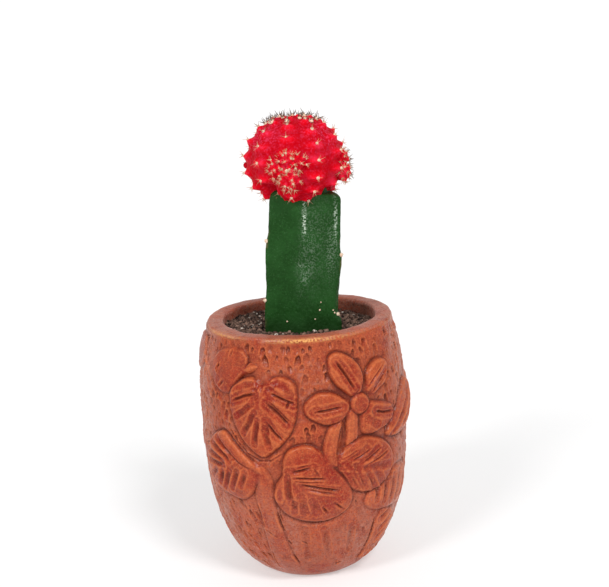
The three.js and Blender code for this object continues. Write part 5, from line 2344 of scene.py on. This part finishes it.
@dataclass
class PottingSoil:
    """The soil: a plug that fills the cavity, with crumbs, fibres and perlite on its top.

    Attributes:
        pot: The pot that it fills.
        stock: The rootstock that stands in it.
        clearance: The gap between it and both.
        lumps: How uneven its top is.
        grit: How uneven it is finely.
        slant: How far its top drops to the right for each millimetre.
        crumb_radius: The smallest crumb's radius, and how much larger the largest one's is.
        fibre_room: How far a fibre's middle lies from the wall and the stem.
    """

    pot: CarvedPot
    stock: Rootstock
    height: float = 91.6
    clearance: float = 0.3
    lumps: float = 0.4
    grit: float = 0.3
    slant: float = 0.035
    sides: int = 240
    crumbs: int = 4200
    crumb_radius: tuple[float, float] = (0.26, 0.6)
    fibres: int = 90
    fibre_radius: float = 0.12
    fibre_lengths: tuple[float, float] = (1.8, 4.5)
    fibre_room: float = 2.5
    perlite_share: float = 0.03
    finish: Earth = field(default_factory=Earth)

    def __post_init__(self) -> None:
        """Starts the stream of random draws."""
        self.noise = LatticeNoise(61)
        self.draw = np.random.default_rng(733)
        self.edge = self._edge_radius(self.height)

    def build(self, palette: Palette) -> None:
        """Makes the plug in the place of its node, and what lies on it.

        Args:
            palette: The shared node groups.
        """
        turn = turns(self.sides)
        rim = polar(self.edge, turn, self.height)
        top = mix(rim, self._hole_ring(turn, self.height), np.linspace(0, 1, 60)[:, None, None])
        top[..., 2] = self._top(top)
        low, brink, tip = 9.0, self.height - 0.6, self.stock.foot - 0.3
        side = [polar(self._edge_radius(z), turn, z) for z in np.linspace(low, brink, 24)]
        hole = [self._hole_ring(turn, z) for z in np.linspace(brink, tip, 16)]
        floor = self.pot.floor_thickness + self.clearance
        bottom = polar(self._edge_radius(low) - 5.3, turn, floor)
        rings = np.concatenate((bottom[None], np.array(side), top, np.array(hole)))
        draft = Draft()
        draft.add_capped(floor * UP, rings, np.array((self.stock.centre(self.stock.foot), 0, tip)))
        earth = self.finish.material(palette)
        draft.build("soil_bed", earth, Slot.POTTING_SOIL, "soil")
        litter = Draft()
        self._scatter_crumbs(litter)
        self._scatter_fibres(litter)
        litter.build("soil_litter", earth, Slot.POTTING_SOIL)

    def _edge_radius(self, height: float) -> float:
        """Radius of the soil's edge at a height.

        Args:
            height: The height.

        Returns:
            The radius.
        """
        mouth_height = self.pot.height - self.pot.inner_lip_drop
        throat = self.pot.throat_height
        share = max(0, (height - throat) / (mouth_height - throat))
        follows = float(self.pot.cavity_radius(min(height, throat)))
        return mix(follows, self.pot.mouth_radius, share) - self.clearance

    def _hole_ring(self, turn: Array, height: float) -> Array:
        """A ring of the hole that the rootstock stands in."""
        return self.stock.outline_radius(turn - math.pi, max(height, self.stock.foot), self.clearance)

    def _top(self, points: Array) -> Array:
        """Height of the soil's top at points."""
        flat = points * (1, 1, 0)
        level = self.height - self.slant * points[..., 0]
        return level + self.lumps * self.noise(flat, 6, 2) + self.grit * self.noise(flat + 40, 1.8, 2)

    def _lump(self) -> Array:
        """The points of a low-poly crumb of radius about 1, with its own random shape.

        Returns:
            The points, as rows.
        """
        points = np.vstack((-UP, ball(3, 7).reshape(-1, 3), UP))
        points = points * self.draw.uniform(0.7, 1.25, (len(points), 1)) * self.draw.uniform(0.55, 1.3, 3)
        matrix = np.linalg.qr(self.draw.normal(size=(3, 3)))[0]
        if np.linalg.det(matrix) < 0:
            matrix[:, 0] *= -1
        return points @ matrix.T

    def _scatter_crumbs(self, litter: Draft) -> None:
        """Adds crumbs and grains of perlite on the soil's top.

        Args:
            litter: What they are added to.
        """
        faces = capped_faces(3, 7)
        least, more = self.crumb_radius
        laid = 0
        while laid < self.crumbs:
            spot = np.array((*self.draw.uniform(-self.edge, self.edge, 2), self.height))
            size = least + more * self.draw.random() ** 3
            if not self._is_open(spot, size):
                continue
            spot[2] = self._top(spot) + self.draw.uniform(-0.2, 0.45) * size
            points = self._lump() * size + spot
            white = float(self.draw.random() < self.perlite_share)
            litter.add(points, faces, tint=self.draw.random() ** 2 * 0.9, perlite=white)
            laid += 1

    def _scatter_fibres(self, litter: Draft) -> None:
        """Adds bent fibres that lie on the soil's top.

        Args:
            litter: What they are added to.
        """
        for _ in range(self.fibres):
            spot = np.array((*self.draw.uniform(-self.edge, self.edge, 2), self.height))
            if not self._is_open(spot, self.fibre_room):
                continue
            spot[2] = self._top(spot) + 0.3
            length = self.draw.uniform(*self.fibre_lengths)
            heading = self.draw.uniform(0, TURN)
            share = np.linspace(-0.5, 0.5, 8)
            bent = heading + self.draw.normal(0, 0.6) * share
            run = share * length
            line = spot + np.stack((np.cos(bent) * run, np.sin(bent) * run, 0.35 * bell(share, 0.4)), axis=-1)
            across = np.array((-math.sin(heading), math.cos(heading), 0))
            rings = line[:, None, :] + self.fibre_radius * np.array((across, UP, -across, -UP))
            litter.add_capped(line[0], rings, line[-1], tint=self.draw.uniform(0.3, 1), perlite=0.0)

    def _is_open(self, spot: Array, size: float) -> bool:
        """Tells whether a thing on the soil lies clear of the wall and the stem.

        Args:
            spot: Its middle.
            size: Its radius.

        Returns:
            Whether it does.
        """
        if math.hypot(spot[0], spot[1]) > self.edge - size:
            return False
        axis = self.stock.centre(self.height)
        azimuth = math.atan2(spot[0] - axis, -spot[1]) - math.pi
        rim = self.stock.outline_radius(np.array([azimuth % TURN]), self.height, 0.0)[0]
        return math.hypot(spot[0] - axis, spot[1]) > math.hypot(rim[0] - axis, rim[1]) + 0.6 * size


# ---------------------------------------------------------------- the studio


@dataclass(frozen=True)
class Sun:
    """A soft light from far away.

    Attributes:
        name: Its name.
        strength: Its strength.
        elevation: Its height over the floor, in degrees.
        azimuth: Where it stands round the pot, in degrees from the front.
        angle: How wide it looks, in degrees.
    """

    name: str
    strength: float
    elevation: float
    azimuth: float
    angle: float = 16

    def build(self) -> None:
        """Makes the light."""
        light = bpy.data.lights.new(self.name, "SUN")
        light.energy = self.strength
        light.angle = math.radians(self.angle)
        rise, turn = math.radians(self.elevation), math.radians(self.azimuth)
        towards = Vector(polar(math.cos(rise), turn, math.sin(rise)))
        holder = bpy.data.objects.new(self.name, light)
        holder.rotation_euler = towards.to_track_quat("Z", "Y").to_euler()
        bpy.context.scene.collection.objects.link(holder)


@dataclass(frozen=True)
class Studio:
    """A pale floor, soft light that is brightest at the horizon, and the camera.

    Attributes:
        floor_half: Half the floor's width, in metres.
        camera_place: Where the camera stands, in metres.
        camera_elevation: How far it looks down, in degrees.
        camera_roll: How far it is turned about its own axis, in degrees.
        lens: Its focal length, for a film that is film_width wide.
        zenith_strength: Strength of the light from above.
        horizon_strength: Strength of the light from the horizon.
        horizon_band: The heights between which one turns into the other.
    """

    floor_half: float = 9.0
    camera_place: tuple[float, float, float] = (0.00252, -0.53518, 0.23075)
    camera_elevation: float = 13.33
    camera_roll: float = 3.02
    lens: float = 87.87
    film_width: float = 36.0
    zenith_strength: float = 0.5
    horizon_strength: float = 1.0
    horizon_band: tuple[float, float] = (0.1, 0.25)
    suns: tuple[Sun, ...] = (Sun("key_light", 1.56, 46, 30), Sun("left_light", 1.2, 36, -38))
    white: Colour = (1.0, 1.0, 1.0)

    def build(self, palette: Palette) -> None:
        """Makes the floor, the light and the camera.

        Args:
            palette: The shared node groups.
        """
        self._floor(palette)
        self._world()
        for sun in self.suns:
            sun.build()
        self._camera()
        bpy.context.scene.view_settings.view_transform = "Standard"

    def _floor(self, palette: Palette) -> None:
        """A large plain floor at the pot's foot.

        Args:
            palette: The shared node groups.
        """
        half = self.floor_half
        mesh = bpy.data.meshes.new("floor")
        corners = [(-half, -half, 0), (half, -half, 0), (half, half, 0), (-half, half, 0)]
        mesh.from_pydata(corners, [], [(0, 1, 2, 3)])
        mesh.materials.append(PaleFloor().material(palette))
        floor = bpy.data.objects.new("floor", mesh)
        bpy.context.scene.collection.objects.link(floor)

    def _world(self) -> None:
        """White light from all round."""
        world = bpy.data.worlds.new("studio")
        world.use_nodes = True
        canvas = Canvas(world.node_tree)
        place = canvas.add("ShaderNodeTexCoord").outputs["Generated"]
        rise = canvas.add("ShaderNodeSeparateXYZ", {"Vector": place}).outputs["Z"]
        low = canvas.ranged(rise, *reversed(self.horizon_band))
        strength = canvas.math("MULTIPLY_ADD", low, self.horizon_strength - self.zenith_strength)
        canvas.feed(strength.node.inputs[2], self.zenith_strength)
        background = world.node_tree.nodes["Background"].inputs
        canvas.feed(background["Color"], self.white)
        canvas.feed(background["Strength"], strength)
        bpy.context.scene.world = world

    def _camera(self) -> None:
        """The camera at the photograph's viewing angle."""
        camera = bpy.data.cameras.new("camera")
        camera.lens, camera.sensor_width, camera.clip_start = self.lens, self.film_width, 0.01
        holder = bpy.data.objects.new("camera", camera)
        tilt = Matrix.Rotation(math.radians(90 - self.camera_elevation), 4, "X")
        roll = Matrix.Rotation(-math.radians(self.camera_roll), 4, "Z")
        holder.matrix_world = Matrix.Translation(self.camera_place) @ tilt @ roll
        bpy.context.scene.collection.objects.link(holder)
        bpy.context.scene.camera = holder


# ---------------------------------------------------------------- assembly


def main() -> None:
    """Builds the pot, the soil, the rootstock, the scion and the studio."""
    logging.basicConfig(level=logging.INFO, format="%(name)s: %(message)s")
    palette = Palette()
    Studio().build(palette)
    pot, stock = CarvedPot(), Rootstock()
    pot.build(palette)
    PottingSoil(pot, stock).build(palette)
    stock.build(palette)
    Scion().build(palette, stock)


if __name__ == "__main__":
    main()
